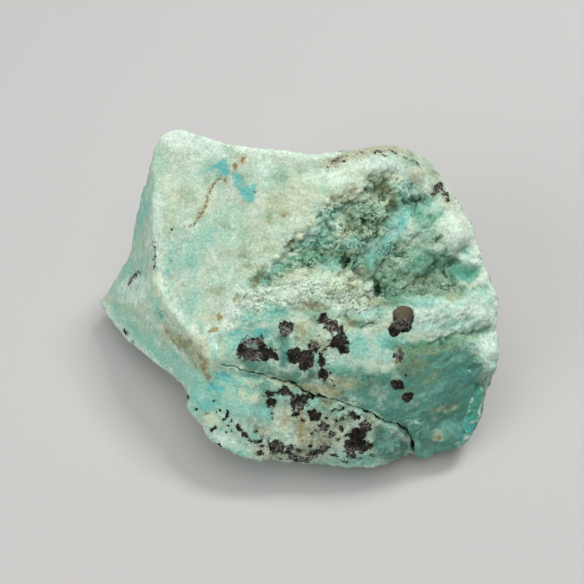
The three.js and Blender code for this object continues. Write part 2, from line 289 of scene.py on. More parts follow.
@dataclass(frozen=True)
class Form:
    """A ridge or a cut that follows marks.

    The rise, in mm and under 0 for a cut, is full at near and inside it, and nothing at far,
    both in picture points from the marks' edges. wander is how far its course strays.
    """

    rise: float
    far: float
    near: float
    marks: tuple[Mark, ...]
    wander: float = 1.0
    dark: bool = False


class Tint(Enum):
    """The tints that lie on the stone in soft patches. Each is an attribute of the mesh. Some patches of
    fern, teal, green, olive and umber are partly painted shade, and some white ones partly painted light.
    """

    FERN = "fern"
    TEAL = "teal"
    AQUA = "aqua"
    TURQUOISE = "turquoise"
    EMERALD = "emerald"
    CREAM = "cream"
    WHITE = "white"
    GREEN = "green"
    SKY = "sky"
    TAN = "tan"
    OLIVE = "olive"
    UMBER = "umber"
    RUST = "rust"


@dataclass(frozen=True)
class Wash:
    """Marks of one tint and strength that share a soft edge, in picture points."""

    tint: Tint
    strength: float
    soft: float
    marks: tuple[Mark, ...]


# fmt: off
SMOOTH_FACE = Patch((
    (160, 122), (154, 160), (152, 200), (152, 240), (156, 275), (163, 297), (175, 312), (187, 325),
    (200, 342), (207, 355), (214, 374), (222, 345), (228, 320), (237, 292), (262, 272), (290, 246),
    (318, 221), (350, 196), (382, 179), (402, 172), (430, 160), (400, 140), (347, 145), (300, 142),
    (240, 139), (200, 127),
))
CRYSTAL_BELT = Patch((
    (241, 289), (256, 275), (272, 260), (284, 249), (290, 238), (303, 228), (313, 213), (324, 204),
    (342, 196), (358, 186), (371, 176), (395, 172), (412, 184), (420, 200), (406, 215), (396, 232),
    (385, 248), (380, 262), (362, 272), (345, 266), (325, 262), (300, 272), (280, 284), (262, 296),
    (248, 298),
))
SUGAR_CREST = Patch((
    (237, 292), (262, 296), (282, 284), (302, 272), (326, 263), (346, 267), (364, 273), (376, 283),
    (386, 298), (388, 315), (372, 328), (348, 320), (330, 310), (305, 308), (285, 312), (262, 314),
    (245, 330), (228, 338),
))
STREAKED_SHOULDER = Patch((
    (412, 184), (440, 176), (465, 208), (484, 250), (494, 288), (470, 292), (425, 293), (400, 298),
    (386, 292), (380, 276), (386, 250), (398, 230), (408, 212),
))
PALE_RIB = Patch((
    (386, 300), (425, 294), (470, 292), (500, 290), (504, 318), (500, 352), (490, 368), (474, 366),
    (458, 354), (430, 352), (408, 346), (392, 336),
))
WAXY_TEAL = Patch((
    (408, 345), (440, 348), (470, 358), (498, 366), (501, 378), (488, 390), (486, 417), (474, 444),
    (448, 454), (432, 463), (416, 458), (412, 434), (397, 426), (371, 415), (352, 406), (340, 398),
    (345, 378), (372, 372), (392, 362),
))
BROKEN_FRONT = Patch((
    (298, 392), (340, 400), (371, 416), (397, 428), (411, 440), (410, 462), (365, 476), (312, 470),
    (262, 468), (236, 460), (250, 440), (275, 425), (290, 410),
))
LEFT_FLANK = Patch((
    (92, 300), (128, 232), (146, 165), (158, 146), (153, 200), (152, 240), (156, 275), (163, 297),
    (175, 312), (187, 325), (200, 342), (207, 355), (213, 384), (198, 402), (180, 404), (145, 368),
    (118, 346),
))
GULLY = Patch((
    (402, 206), (412, 209), (407, 222), (398, 236), (388, 248), (381, 260), (375, 276), (368, 274),
    (368, 258), (377, 246), (388, 232), (395, 218),
))
LEDGE = Patch((
    (150, 296), (160, 300), (172, 316), (186, 334), (202, 350), (212, 370), (214, 388), (204, 381),
    (190, 364), (174, 346), (158, 322),
))
STEP = Trail(3, (
    (240, 291), (251, 281), (270, 262), (288, 244), (300, 231), (310, 219), (324, 207), (340, 200),
    (356, 191),
))
CHEEK = Patch((
    (446, 204), (460, 208), (474, 234), (484, 258), (470, 256), (452, 246), (438, 230), (438, 212),
))
GROOVE = Patch((
    (408, 338), (430, 340), (448, 333), (470, 328), (496, 324), (500, 346), (484, 356), (462, 352),
    (438, 354), (414, 350),
))
GROUNDS = (
    Ground("plain", None, 0.60, 0.14, 0.17, 0.04, 0.09, 0.00, 0.08, 0.07, 0.060),
    Ground("smooth_face", SMOOTH_FACE, 0.66, 0.14, 0.11, 0.00, 0.05, 0.00, 0.04, 0.04, 0.060),
    Ground("left_flank", LEFT_FLANK, 0.64, 0.12, 0.12, 0.00, 0.03, 0.00, 0.03, 0.06, 0.050),
    Ground("waxy_teal", WAXY_TEAL, 0.55, 0.20, 0.12, 0.00, 0.03, 0.16, 0.03, 0.06, 0.050),
    Ground("broken_front", BROKEN_FRONT, 0.46, 0.20, 0.32, 0.10, 0.10, 0.00, 0.20, 0.24, 0.065),
    Ground("pale_rib", PALE_RIB, 0.46, 0.18, 0.26, 0.03, 0.06, 0.12, 0.12, 0.16, 0.055),
    Ground("shoulder", STREAKED_SHOULDER, 0.41, 0.22, 0.30, 0.10, 0.10, 0.08, 0.28, 0.24, 0.065),
    Ground("sugar_crest", SUGAR_CREST, 0.37, 0.24, 0.46, 0.16, 0.18, 0.00, 0.26, 0.42, 0.080,
           soft=7.0),
    Ground("crystal_belt", CRYSTAL_BELT, 0.34, 0.34, 0.64, 0.28, 0.10, 0.00, 0.50, 0.55, 0.080,
           soft=8.0),
    Ground("ledge", LEDGE, 0.48, 0.12, 0.18, 0.05, 0.05, 0.00, 0.22, 0.30, 0.065, soft=4.0),
    Ground("groove", GROOVE, 0.44, 0.18, 0.26, 0.08, 0.08, 0.10, 0.26, 0.26, 0.065, soft=6.0),
    Ground("cheek", CHEEK, 0.44, 0.22, 0.22, 0.00, 0.05, 0.04, 0.08, 0.10, 0.060, soft=4.0),
    Ground("gully", GULLY, 0.40, 0.20, 0.22, 0.03, 0.04, 0.10, 0.06, 0.10, 0.060, soft=4.0),
)
HIDDEN_GROUND = Ground("hidden", None, 1.15, 0.30, 0.45, 0.08, 0.06, 0.00, 0.15, 0.18, 0.060)
ALL_GROUNDS = (*GROUNDS, HIDDEN_GROUND)
RELIEF_KINDS = ("swell", "lumps", "blocks", "sugar", "streaks", "pits", "creases", "grit")
POCKETS = gather(
    (291, 244, 4, 3, -35), (320, 215, 3, 6, -25), (304, 262, 14, 4, -12), (272, 280, 9, 5, -30),
    (367, 220, 20, 8, 10), (352, 204, 8, 3, -10), (384, 190, 9, 9, 20), (350, 264, 7, 6, 20),
    (386, 276, 12, 10, 20), (406, 204, 6, 3, -20), (389, 250, 8, 4, -20), (446, 256, 8, 7, -20),
    (424, 274, 26, 10, -6), (426, 222, 18, 11, -15), (424, 203, 12, 6, -20), (332, 248, 18, 4),
    (425, 286, 34, 6, -2), (436, 264, 18, 6, -8), (360, 322, 14, 6, 10), (316, 308, 10, 4),
    (455, 336, 36, 4, -8), (388, 292, 14, 5),
)
CRYSTAL_BEDS = gather(
    (362, 206, 13, 7, 10), (366, 232, 18, 6, -15), (272, 288, 18, 6, -15), (425, 288, 34, 6, -3),
    (386, 248, 7, 10, 20), (300, 268, 16, 4, -20), (362, 300, 26, 10, -8), (262, 304, 20, 6, -10),
    (320, 290, 30, 8, -10), (404, 262, 8, 8), (342, 246, 14, 4), (376, 208, 10, 8), (335, 360, 8, 5),
)
CRACK = gather(
    Trail(0.05, ((221, 364), (232, 367), (242, 370.5), (252, 372), (261, 374.5), (272, 378.5))),
    Trail(0.3, ((272, 378.5), (285, 382), (292, 382.3), (301, 388.5), (312, 395), (325, 398.5))),
    Trail(0.05, ((325, 398.5), (337, 401), (348, 405), (361, 409))),
    Trail(0.12, ((361, 409), (369, 412.5), (379, 418.5), (386, 422), (398, 424.5), (406, 430))),
    Trail(0.15, ((406, 430), (409, 434), (411, 436), (411.5, 441), (414, 446), (410.5, 455))),
)
CRACK_HOLES = gather(
    (292.5, 382.8, 3.6, 1.5, 25), (303, 390, 4, 0.9, 35), (311, 394.5, 3, 1.1, 20),
    (321, 396.5, 4, 1.4, 25), (366, 411.5, 3.5, 0.9, 30), (377, 417.5, 4, 0.8, 35),
    (402, 427.5, 5, 1.1, 35), (412.5, 447, 1.5, 6, -8),
)
DEEP_PITS = gather(
    (377.5, 291, 1.8, 3.6, 8), (291.5, 251, 1.1, 0.6, -20), (399, 254, 3, 1, -30),
    Trail(0.4, ((351, 260), (346, 263), (345, 266))), Trail(0.3, ((437, 240), (442, 235.5))),
    Trail(0.5, ((443, 271), (445, 277))),
)
FORMS = {
    "crack": Form(-1.1, 0.9, -0.4, CRACK, wander=1.3, dark=True),
    "crack_holes": Form(-0.8, 0.8, -1, CRACK_HOLES, wander=1.2, dark=True),
    "deep_pits": Form(-1.9, 2.4, -1.6, DEEP_PITS, wander=2.6),
    "crevices": Form(-0.6, 2.6, -0.8, gather(
        Trail(1, ((406, 252), (393, 255), (384, 262), (380, 274))),
        Trail(1, ((365, 282), (372, 279), (378, 284))),
        Trail(1, ((428, 346), (440, 341), (454, 335), (470, 334), (488, 329))),
        Trail(1.4, ((474, 386), (484, 382), (492, 374))),
        Trail(1, ((345, 318), (352, 325), (362, 328), (374, 324))),
        Trail(0.8, ((356, 270), (362, 276), (366, 284))), Trail(0.8, ((340, 275), (346, 280), (355, 282))),
        Trail(0.6, ((414, 214), (424, 212), (434, 206))), Trail(0.6, ((410, 238), (420, 234))),
        Trail(0.5, ((426, 228), (436, 222), (442, 214))),
    ), wander=3),
    "belt_crumbs": Form(0.6, 2.2, -1.2, gather(
        (262, 272, 3, 2, -40), (276, 260, 3.6, 2.4, -40), (287, 251, 2.6, 2), (300, 238, 3.4, 2.2, -40),
        (309, 227, 2.6, 2, -50), (326, 214, 3.4, 2.2, -30), (337, 206, 2.8, 1.8, -20), (316, 232, 3.2, 2),
        (332, 226, 2.6, 2.2), (292, 258, 3, 1.8, -20), (360, 190, 3, 2, -20), (373, 186, 2.4, 1.8),
    ), wander=2.6),
    "belt_nicks": Form(-0.6, 1.4, -0.8, gather(
        (257, 279, 1.4, 3, 45), (288, 246, 2.6, 1.2, -40), (295, 241, 1.4, 1), (319, 216, 1.2, 3),
        (350, 203, 4, 1.4, -15), (366, 190, 2.4, 1.6),
    ), wander=2.6),
    "belt_fill": Form(0.55, 5, -1, gather(Trail(1, ((414, 275), (432, 265), (450, 256)))), wander=2.6),
    "notch": Form(-0.9, 3.5, -1.5, gather(Trail(1.2, ((478, 390), (486, 384), (496, 376))))),
    "ledge_groove": Form(-0.4, 2.6, -0.6, gather(
        (181, 341, 5, 1.5, 45), (198, 357, 6, 1.6, 50), (170, 322, 5, 1.2, 50),
        Trail(0.6, (
            (150, 300), (156, 316), (167, 330), (173, 345), (187, 356), (195, 369), (206, 379), (213, 387),
        )),
    ), wander=3.2),
    "ridge_line": Form(0.38, 5, -0.6, gather(
        Trail(0.8, ((157, 282), (166, 303), (177, 315), (189, 329), (200, 344), (207, 356))),
        Trail(1.4, ((450, 254), (462, 259), (477, 264))), Trail(0.8, ((472, 363), (484, 362), (495, 368))),
    ), wander=2),
    "flank_fold": Form(-0.32, 4, -0.8, gather(
        Trail(1, ((107, 303), (122, 309), (136, 317), (151, 330), (164, 345), (180, 363), (200, 377))),
    ), wander=3),
    "bulge": Form(0.55, 9, -9, gather((221, 347, 12, 17, -10)), wander=2),
    "lower_lip": Form(0.4, 2, -0.8, gather(
        Trail(2, ((374, 421), (386, 428), (397, 431), (404, 437), (407, 446), (403, 456))),
    )),
    "chips": Form(0.65, 0.5, -0.9, gather((413.5, 425.5, 6.4, 4.2, -15), (416, 435, 2.8, 4.5)), wander=0.6),
    "scoop": Form(-0.8, 3, -6, gather((466, 274, 15, 10, 8)), wander=1.2),
    "facet": Form(-0.4, 3, -10, gather(
        Patch(((262, 394), (278, 404), (276, 424), (250, 428))),
    ), wander=1.5),
    "front_dents": Form(-0.55, 4, -5, gather(
        (336, 444, 9, 6, 30), (300, 428, 6, 10), (384, 445, 9, 6, -30), (346, 424, 7, 5),
        (240, 444, 10, 5, 30),
    ), wander=2.5),
}
SPOTS = {
    "bean": gather(
        (242, 350.5, 6, 8, 20), (251, 356, 9.5, 6), (261, 345, 4.5, 8, 10), (263, 354, 7.5, 7),
        (272, 353.5, 6, 5, 15), (276, 358, 2.5, 3), (250, 341, 7, 3.4), (252, 352, 9, 3.2),
        (258, 341, 6, 3),
    ),
    "heart": gather((286, 328, 7.8, 7.6), (285, 333, 4, 5)),
    "cluster": gather(
        (295.5, 355.5, 8.5, 8.5), (306, 359, 9.5, 9.5, -20), (313, 347.5, 6, 7), (304, 366, 6, 4.5),
        Trail(1.2, ((322, 350), (331, 345))),
    ),
    "double": gather(
        (323, 318, 5.2, 5.6), (331, 325, 7, 7, -35), (339, 331, 5.5, 7.5, -20), (339, 342, 10.5, 7, 10),
        (343, 349, 6, 5),
    ),
    "drip": gather((322, 361, 4.2, 7.5), (324, 374.5, 6.2, 6.8), Trail(0.7, ((330, 380), (335, 385)))),
    "knob": gather((403.5, 316.5, 11, 10.8), (403, 325, 9.5, 8), (394.5, 330, 6.4, 7)),
    "rosy": gather((399, 355, 5.2, 6), (398.5, 347, 2.5, 1.8)),
    "twin_dots": gather(
        (397.5, 384.5, 6.3, 5.2), (401.5, 387.5, 3.2, 2.6), (393, 382.5, 3, 2.6), (407.3, 397.6, 5.8, 5),
        (411, 395, 2.6, 2.6), (405.5, 375, 1.6, 1.5),
    ),
    "mask": gather(
        (270, 394, 6.3, 3.8), (271, 402, 5.2, 5.6), (285, 391, 5.6, 5.6), (299, 402, 10, 6.3),
        (296, 412, 4.6, 7), Trail(2.2, ((274, 393), (284, 393))), Trail(2.6, ((288, 393), (297, 397))),
        Trail(2.6, ((302, 397), (313, 397))),
    ),
    "seed": gather((314, 416, 5.3, 7.3, -10), (318, 415, 3.8, 3.8)),
    "smudge": gather((324, 428, 5.8, 5.5), (331, 435, 4, 4)),
    "dash": gather(Trail(2.6, ((349, 413), (358, 418))), Trail(1.2, ((338, 411), (343, 409)))),
    "butterfly": gather(
        (365, 427, 6.2, 7, 30), (357, 436, 8.8, 8.8, 30), (352, 446, 8.5, 7.6), (361, 447, 8.5, 5.6),
        (370, 446, 3.6, 3.8), (352, 455, 5, 4),
    ),
    "streak": gather(
        Trail(2.1, ((238, 427), (246, 436))), Trail(1.4, ((249, 440), (257, 442), (263, 439))),
    ),
    "toe": gather((276, 447, 8.3, 7), (260, 453, 4.3, 2.6)),
    "foot": gather(
        Trail(3.6, ((291, 457), (305, 461), (317, 453), (325, 448))), Trail(2.2, ((286, 452), (292, 455))),
    ),
    "left_dots": gather(
        (187, 397, 2.6, 2.7), (196, 409.5, 1.7, 1.6), (213.7, 401, 1.2, 1.5), (220.3, 410, 1.6, 2),
        (216.5, 412, 1, 1), (228, 411.5, 1.7, 2.8, -30), (227, 416.5, 2, 2.2), (223.6, 419.7, 2, 1.5, -30),
        (231.5, 421, 0.9, 1.6), (228, 425, 1.3, 1.5), (215.2, 427.3, 1.8, 2.3, 20), (212, 430.2, 1.9, 2.4),
        (231.3, 431.7, 0.9, 2), (226.4, 432.4, 0.8, 0.8), (219.6, 443.7, 1, 1),
        Trail(2.3, ((210, 442), (215, 445), (220, 447))),
    ),
    "front_dots": gather(
        (271.8, 414.4, 1.6, 1.3), (272.3, 418.8, 1.2, 1.2), (255, 427, 1, 1), (382, 438.7, 1.4, 1.2),
        (382.6, 402, 1.2, 1.2), (320, 416, 1.8, 1.8), (464, 432.6, 1.2, 1.2), (368.8, 377, 1.2, 0.9),
        (319, 335.5, 1.6, 1.2), (312, 341, 2, 2),
    ),
    "flank_streak": gather(
        (170.2, 231.4, 0.9, 1.8), (171.3, 261, 0.9, 0.9), (132.5, 342, 1, 1.3),
        Trail(1.7, ((129, 284), (132, 279), (137.5, 272))),
        Trail(0.8, ((153, 241), (155, 254), (154, 268))), Trail(0.9, ((124, 330), (128, 336))),
    ),
    "crumbs": gather(
        (256, 432, 1.6, 1.2), (262, 436, 1.8, 1.4), (268, 440, 2.4, 1.8), (292, 446, 2.4, 1.6),
        (299, 450, 3, 1.6), (310, 446, 1.6, 1.4), (342, 420, 1.6, 2.2), (346, 436, 1.8, 2.4),
        (307, 404, 1.8, 1.6), (316, 431, 1.6, 1.2), (333, 410, 2.2, 1.4), (278, 459, 3.2, 1.4),
    ),
    "pepper": gather(
        (308, 412, 2.2, 1.8), (303, 421, 1.6, 1.4), (326, 419, 2.4, 2, 30), (336, 421, 2, 2.6),
        (341, 430, 2.6, 1.8, -30), (313, 434, 2, 1.4), (338, 441, 2.2, 2), (329, 447, 2, 1.6),
        (334, 455, 2.6, 1.6), (344, 462, 3, 1.4), (318, 346, 2, 1.6), (288, 447, 1.6, 2.2),
        (262, 446, 2.4, 1.6), (360, 458, 1.6, 1.2), (373, 456, 1.4, 1),
    ),
    "rim_specks": gather(
        (335, 160, 3.4, 1.8, -35), (344, 161, 2, 1), (380, 151, 3, 1), (354, 157, 1.6, 0.8),
        Trail(0.9, ((328, 168), (332, 162), (340, 157))), Trail(0.4, ((340, 157), (352, 154), (366, 151))),
        Trail(0.7, ((374, 152), (387, 156))), Trail(0.4, ((388, 149), (398, 154))),
        Trail(0.8, ((402, 156), (411, 161))), Trail(0.5, ((412, 160), (420, 165))),
    ),
    "shoulder_black": gather(
        (438, 186.5, 5.2, 3.4, -35), (436, 192.5, 5, 2.2, -25), (443, 195, 2.2, 1.6),
        Trail(1.3, ((441, 189), (447, 194), (448, 201))),
    ),
}
DOTS = ("twin_dots", "left_dots", "front_dots", "knob", "rim_specks", "shoulder_black")
MOTTLED_SPOTS = gather(
    (333, 326, 9, 6, 40), (326, 431, 9, 9), (258, 439, 10, 6, 20), (277, 446, 6, 4), (343, 158, 18, 8),
    (395, 156, 30, 7, 8), (305, 458, 20, 5), (286, 330, 7, 7), (250, 360, 6, 3), (440, 193, 12, 9),
    (399, 352, 6, 8), (403, 324, 9, 4), (372, 437, 5, 5), (250, 343, 10, 5), (316, 345, 7, 6),
    (300, 408, 6, 5), (352, 452, 10, 5), (366, 424, 5, 5), (255, 355, 9, 3), (154, 254, 4, 16),
    (133, 278, 8, 9), (288, 396, 8, 3), (330, 444, 12, 10),
)
SPOT_HOLES = gather(
    (251, 345.5, 1.6, 0.4), (296.3, 410.8, 1.6, 1.4), (369.5, 437, 3.6, 3), (335.5, 333, 1.6, 1.8),
)
WASHES = (
    Wash(Tint.FERN, 1, 5, gather(
        (394, 284, 22, 14), (426, 258, 30, 20, -20), (424, 286, 34, 7, -2), (320, 312, 16, 8),
        (436, 350, 34, 10, -4), (418, 200, 10, 8), (421, 212, 17, 15, -20), (402, 291, 16, 6),
        (464, 334, 26, 5, -6), (240, 388, 10, 4, 20),
        Patch((
            (254, 288), (272, 272), (298, 248), (320, 226), (338, 210), (354, 200), (374, 186), (396, 184),
            (414, 196), (408, 214), (396, 236), (380, 262), (352, 268), (324, 262), (292, 270), (262, 288),
        )),
    )),
    Wash(Tint.FERN, 0.6, 8, gather(
        (282, 178, 7, 8), (258, 240, 12, 12), (360, 322, 16, 8), (330, 420, 24, 24), (300, 386, 40, 8, 15),
        (360, 376, 26, 10, 10), (186, 345, 8, 22, -40), (226, 222, 10, 6), (272, 216, 10, 6),
        (305, 332, 12, 14), (250, 392, 16, 8), (440, 214, 7, 12, -20), (440, 299, 40, 6, -4),
        (244, 232, 10, 8), (264, 389, 11, 6, 15), (396, 376, 8, 7), (330, 180, 9, 6), (450, 220, 8, 8),
        # The trail along the left flank's fold is painted shade.
        (474, 291, 16, 6), Trail(2, ((107, 303), (136, 316), (152, 329), (166, 345), (182, 362))),
    )),
    # Waxy teal; towards the bottom edge the patch also stands for painted shade.
    Wash(Tint.TEAL, 1.15, 7, gather(
        (440, 358, 32, 8, -6), (382, 406, 11, 5, 20), (430, 347, 26, 5, -4),
        Patch((
            (404, 362), (414, 352), (440, 348), (466, 350), (478, 358), (482, 372), (483, 388), (488, 404),
            (484, 420), (476, 438), (456, 450), (436, 458), (416, 462), (412, 450), (410, 438), (398, 426),
            (384, 420), (372, 412), (382, 398), (394, 384),
        )),
    )),
    Wash(Tint.TEAL, 0.85, 8, gather(
        Patch((
            (398, 431), (384, 424), (370, 414), (356, 408), (342, 402), (336, 384), (350, 368), (384, 372),
            (402, 350), (430, 342), (470, 344), (480, 360), (440, 380), (400, 400),
        )),
    )),
    # Dark teal round the spots and along the crack; the strip under the crack is partly painted shade.
    Wash(Tint.TEAL, 1, 5, gather(
        (251, 345, 6, 3), (258, 366, 13, 3, 12), (271, 345, 5, 5), (249, 375, 14, 4, 12),
        (311, 374, 8, 5, 15), Trail(6, ((283, 338), (284, 354), (284, 366))),
        Trail(4, ((246, 366), (262, 371), (278, 376), (294, 380), (306, 386))),
        Patch((
            (374, 426), (386, 430), (398, 434), (408, 444), (404, 456), (386, 462), (376, 452), (372, 438),
        )),
    )),
    Wash(Tint.TEAL, 0.8, 6, gather(
        (342, 372, 12, 7), (368, 264, 6, 9), (452, 275, 8, 7), (437, 279, 7, 4), (424, 291, 12, 4),
        (393, 303, 9, 4), (265, 388, 10, 5, 15), (262, 332, 11, 4, -8), (276, 340, 6, 6),
        (300, 374, 14, 5, 15), Trail(5, ((240, 362), (262, 368), (290, 372), (316, 382), (344, 394))),
        Patch(((258, 394), (270, 400), (272, 414), (264, 428), (249, 427), (252, 410))),
    )),
    Wash(Tint.TEAL, 0.55, 8, gather(
        (420, 262, 24, 8, -20), (386, 258, 6, 12, 30), (356, 323, 9, 5), (392, 296, 14, 6),
        (466, 272, 9, 5, 10), (326, 400, 12, 5), (284, 403, 7, 6), (367, 418, 8, 5), (366, 460, 12, 5),
    )),
    Wash(Tint.AQUA, 1, 7, gather(
        (222, 346, 14, 20, -8), (250, 340, 22, 10, -10), (232, 384, 24, 8, 12), (208, 402, 16, 14),
        (232, 410, 16, 12), (250, 436, 14, 6, 20), (330, 360, 20, 8, 15), (356, 346, 20, 10),
        (262, 314, 26, 7, -5), (365, 314, 18, 7), (388, 340, 12, 8), (422, 302, 24, 4),
        (328, 217, 14, 6, -20), (316, 236, 14, 4, -20), (408, 187, 9, 7), (466, 256, 7, 10),
        (467, 270, 11, 8, 10), (262, 279, 14, 5, -30), (340, 264, 14, 4), (262, 411, 8, 9),
        (401, 190, 8, 6), (308, 240, 6, 3, -30), (362, 244, 8, 3, -10), (411, 195, 6, 5, -20),
        (368, 249, 7, 4), (369, 319, 6, 5),
        Trail(7, ((404, 216), (398, 228), (392, 240), (384, 250), (372, 255))),
        Trail(8, ((110, 312), (138, 340), (165, 360), (190, 380), (205, 396))),
    )),
    Wash(Tint.AQUA, 0.75, 9, gather(
        (140, 215, 10, 40, 15), (455, 318, 44, 14, -4), (230, 440, 24, 10, 20), (216, 173, 9, 6, -15),
        (488, 352, 10, 20), (420, 216, 16, 10, -20), (480, 300, 14, 14), (340, 460, 50, 8, 6),
        (300, 402, 50, 6, 15), (130, 280, 16, 26, 20), (480, 376, 6, 5), (424, 431, 7, 5),
    )),
    Wash(Tint.AQUA, 0.62, 14, gather((186, 256, 18, 24), (210, 238, 12, 8), (196, 300, 12, 8))),
    Wash(Tint.AQUA, 0.6, 6, gather(
        (446, 430, 22, 9, -14), (382, 445, 7, 6), (412, 425, 9, 5, -15), (392, 438, 10, 12),
        (416, 444, 6, 10), (430, 452, 14, 5, -10), (430, 392, 22, 3, -26), (452, 362, 22, 3, -12),
        (418, 412, 14, 3, -30),
    )),
    Wash(Tint.TURQUOISE, 0.95, 3.4, gather(
        Patch(((204, 172), (217, 162), (226, 157), (230, 168), (228, 177), (218, 168))),
        Patch((
            (231, 173), (238, 170), (244, 180), (250, 187), (259, 184), (254, 192), (255, 200), (249, 203),
            (241, 196), (234, 185),
        )),
    )),
    Wash(Tint.TURQUOISE, 0.9, 4, gather(
        (222, 377, 9, 6), (216, 388, 9, 5), (202, 350, 2.5, 2.5), (277, 310, 8, 3), (238, 452, 6, 3.5, 15),
        Trail(1.2, ((167, 271), (168, 292))), Trail(2.6, ((157, 305), (161, 318))),
        Trail(1.8, ((232, 333), (250, 331), (266, 336))),
    )),
    Wash(Tint.TURQUOISE, 0.75, 6, gather(
        (254, 332, 18, 4, -8), (390, 345, 10, 6), (392, 330, 5, 6), (400, 224, 8, 6, -30),
        (388, 244, 10, 5, -40), (372, 258, 5, 8, 20), (209, 405, 11, 6), (470, 424, 8, 16, 20),
    )),
    Wash(Tint.TURQUOISE, 0.45, 12, gather(
        (172, 352, 14, 7, 40), (428, 205, 10, 5), (440, 303, 30, 5), (142, 208, 5, 18, 10),
        (466, 372, 8, 8), (194, 398, 6, 10),
    )),
    Wash(Tint.EMERALD, 1, 4.5, gather((466, 272, 13, 7, 8), (454, 265, 6, 7, -30))),
    Wash(Tint.EMERALD, 0.75, 5, gather(
        (318, 244, 24, 5, -10), (336, 256, 22, 6, 5), (372, 264, 7, 10, 20), (290, 264, 12, 4, -30),
        (306, 256, 16, 5, -10), (270, 281, 10, 3, -30), (352, 240, 10, 4), (408, 202, 6, 4, -20),
        (474, 412, 7, 20, 14), (482, 392, 5, 7), (486, 356, 8, 5),
    )),
    Wash(Tint.EMERALD, 0.55, 6, gather(
        (430, 264, 26, 12, -10), (392, 292, 16, 6), (357, 320, 11, 6), (412, 232, 16, 5, -15),
        (276, 312, 16, 5, -8), (426, 216, 14, 7, -20), (430, 234, 12, 5, -15), (428, 200, 10, 5, -10),
        (418, 210, 13, 8, -25), (430, 227, 10, 5, -20), (250, 322, 12, 4), (432, 344, 26, 5, -6),
        (290, 346, 6, 10), (384, 182, 8, 4), (462, 302, 16, 3, -10), (330, 366, 20, 6, 15),
    )),
    Wash(Tint.CREAM, 0.95, 7, gather(
        (336, 287, 28, 9, -8), (302, 276, 26, 6, -6), (352, 300, 18, 7), (160, 290, 4, 16, -15),
        (222, 350, 4, 10, 20), (262, 296, 14, 6, -20), (200, 342, 5, 16, -32), (296, 298, 20, 5, -8),
    )),
    Wash(Tint.CREAM, 0.8, 4, gather(
        (320, 390, 18, 4, 18), (302, 432, 5, 14), (438, 435, 5, 4.5), (348, 327, 6, 4), (305, 326, 7, 8),
        (385, 322, 6, 4), (418, 172, 12, 4, 15), (350, 192, 10, 4, -30), (212, 420, 8, 5, 30),
        (248, 384, 5, 2.5, 30), (242, 394, 3, 5), (254, 396, 4, 2.5), (367, 194, 7, 5), (452, 297, 7, 3),
        (284, 424, 6, 6), (347, 279, 12, 5, 25), (278, 381, 12, 2.5, 15), (300, 424, 4, 18),
        (410, 226, 5, 8), (387, 203, 7, 5), (247, 270, 9, 6, -30), (372, 198, 8, 4, -20),
        (268, 262, 10, 3, -35), (312, 222, 6, 4, -40), (345, 233, 9, 4), (279, 256, 6, 3, -30),
        (300, 226, 5, 4, -40), (256, 270, 5, 3, -30), (332, 197, 12, 6, -30), (350, 197, 9, 6, -20),
        (300, 236, 5, 4, -40), (292, 246, 4, 2.5, -40), (300, 252, 6, 2.5, -20), (306, 288, 18, 6, -6),
        (290, 301, 16, 4, -6), (393, 178, 7, 4), Trail(1.2, ((434, 411), (446, 410), (458, 406))),
    )),
    Wash(Tint.CREAM, 0.5, 12, gather(
        (290, 200, 44, 18, -30), (264, 248, 12, 12, -40), (204, 318, 10, 8, 30), (170, 205, 8, 26),
        (360, 172, 30, 8), (250, 158, 10, 6), (205, 200, 10, 12), (324, 182, 20, 8, -20),
        Trail(3, ((105, 308), (117, 325), (131, 341), (150, 357), (170, 374))),
    )),
    # Pale and white patches; those on the right shoulder and the right side are partly painted light where
    # the lamp falls.
    Wash(Tint.WHITE, 1, 8, gather(
        (180, 138, 22, 10, 10), (268, 293, 20, 7, -6), (232, 312, 8, 14, 15), (372, 165, 30, 5, 5),
        (470, 310, 22, 8, -8), (481, 319, 9, 5, -6), (292, 292, 32, 9, -8), (458, 232, 16, 16, -30),
        (460, 224, 13, 18, -32), (490, 348, 8, 15), (446, 306, 30, 3, -14),
        Trail(5, ((192, 132), (222, 142), (250, 148))), Trail(3.5, ((250, 150), (300, 152), (345, 157))),
        Trail(3, ((450, 252), (462, 257), (476, 262))), Trail(2, ((425, 322), (450, 312), (474, 300))),
    )),
    # More pale patches; the trail along the right rim is partly a painted highlight, and the small ovals in
    # the belt's dips are painted light over its shade.
    Wash(Tint.WHITE, 0.75, 8, gather(
        (265, 165, 10, 8), (309, 284, 28, 6, -8), (346, 298, 24, 7), (475, 240, 8, 16, -30),
        (243, 290, 8, 8), (212, 340, 6, 14), (334, 360, 10, 4, 20), (354, 308, 14, 5),
        (466, 300, 26, 5, -8), (436, 316, 30, 4, -10), (485, 322, 10, 5, -10), (420, 240, 8, 5, -10),
        (414, 222, 5, 4), (444, 226, 9, 9, -30), (432, 208, 6, 4, -20), (436, 246, 7, 4, -10),
        (338, 223, 7, 4), (340, 240, 8, 3), (401, 189, 7, 5, -10), (309, 239, 6, 3, -35), (411, 196, 3, 3),
        (234, 443, 12, 6, 20), (392, 236, 3, 5, 30), (408, 232, 6, 5), (410, 192, 5, 4), (369, 319, 5, 4),
        (454, 330, 12, 4, -6), (220, 152, 10, 5), (367, 193, 6, 4), (367, 248, 5, 3.5), (326, 446, 7, 4),
        (285, 305, 8, 4), (444, 322, 24, 3, -8), (250, 306, 24, 6), (206, 152, 14, 9),
        Trail(4, ((158, 196), (157, 240), (161, 282), (172, 306), (190, 328), (205, 344))),
        Trail(5, ((440, 178), (464, 212), (478, 250), (492, 290), (498, 318), (497, 352))),
        Trail(2.6, ((105, 308), (117, 325), (131, 341), (150, 357), (170, 374))),
    )),
    Wash(Tint.WHITE, 0.6, 5, gather(
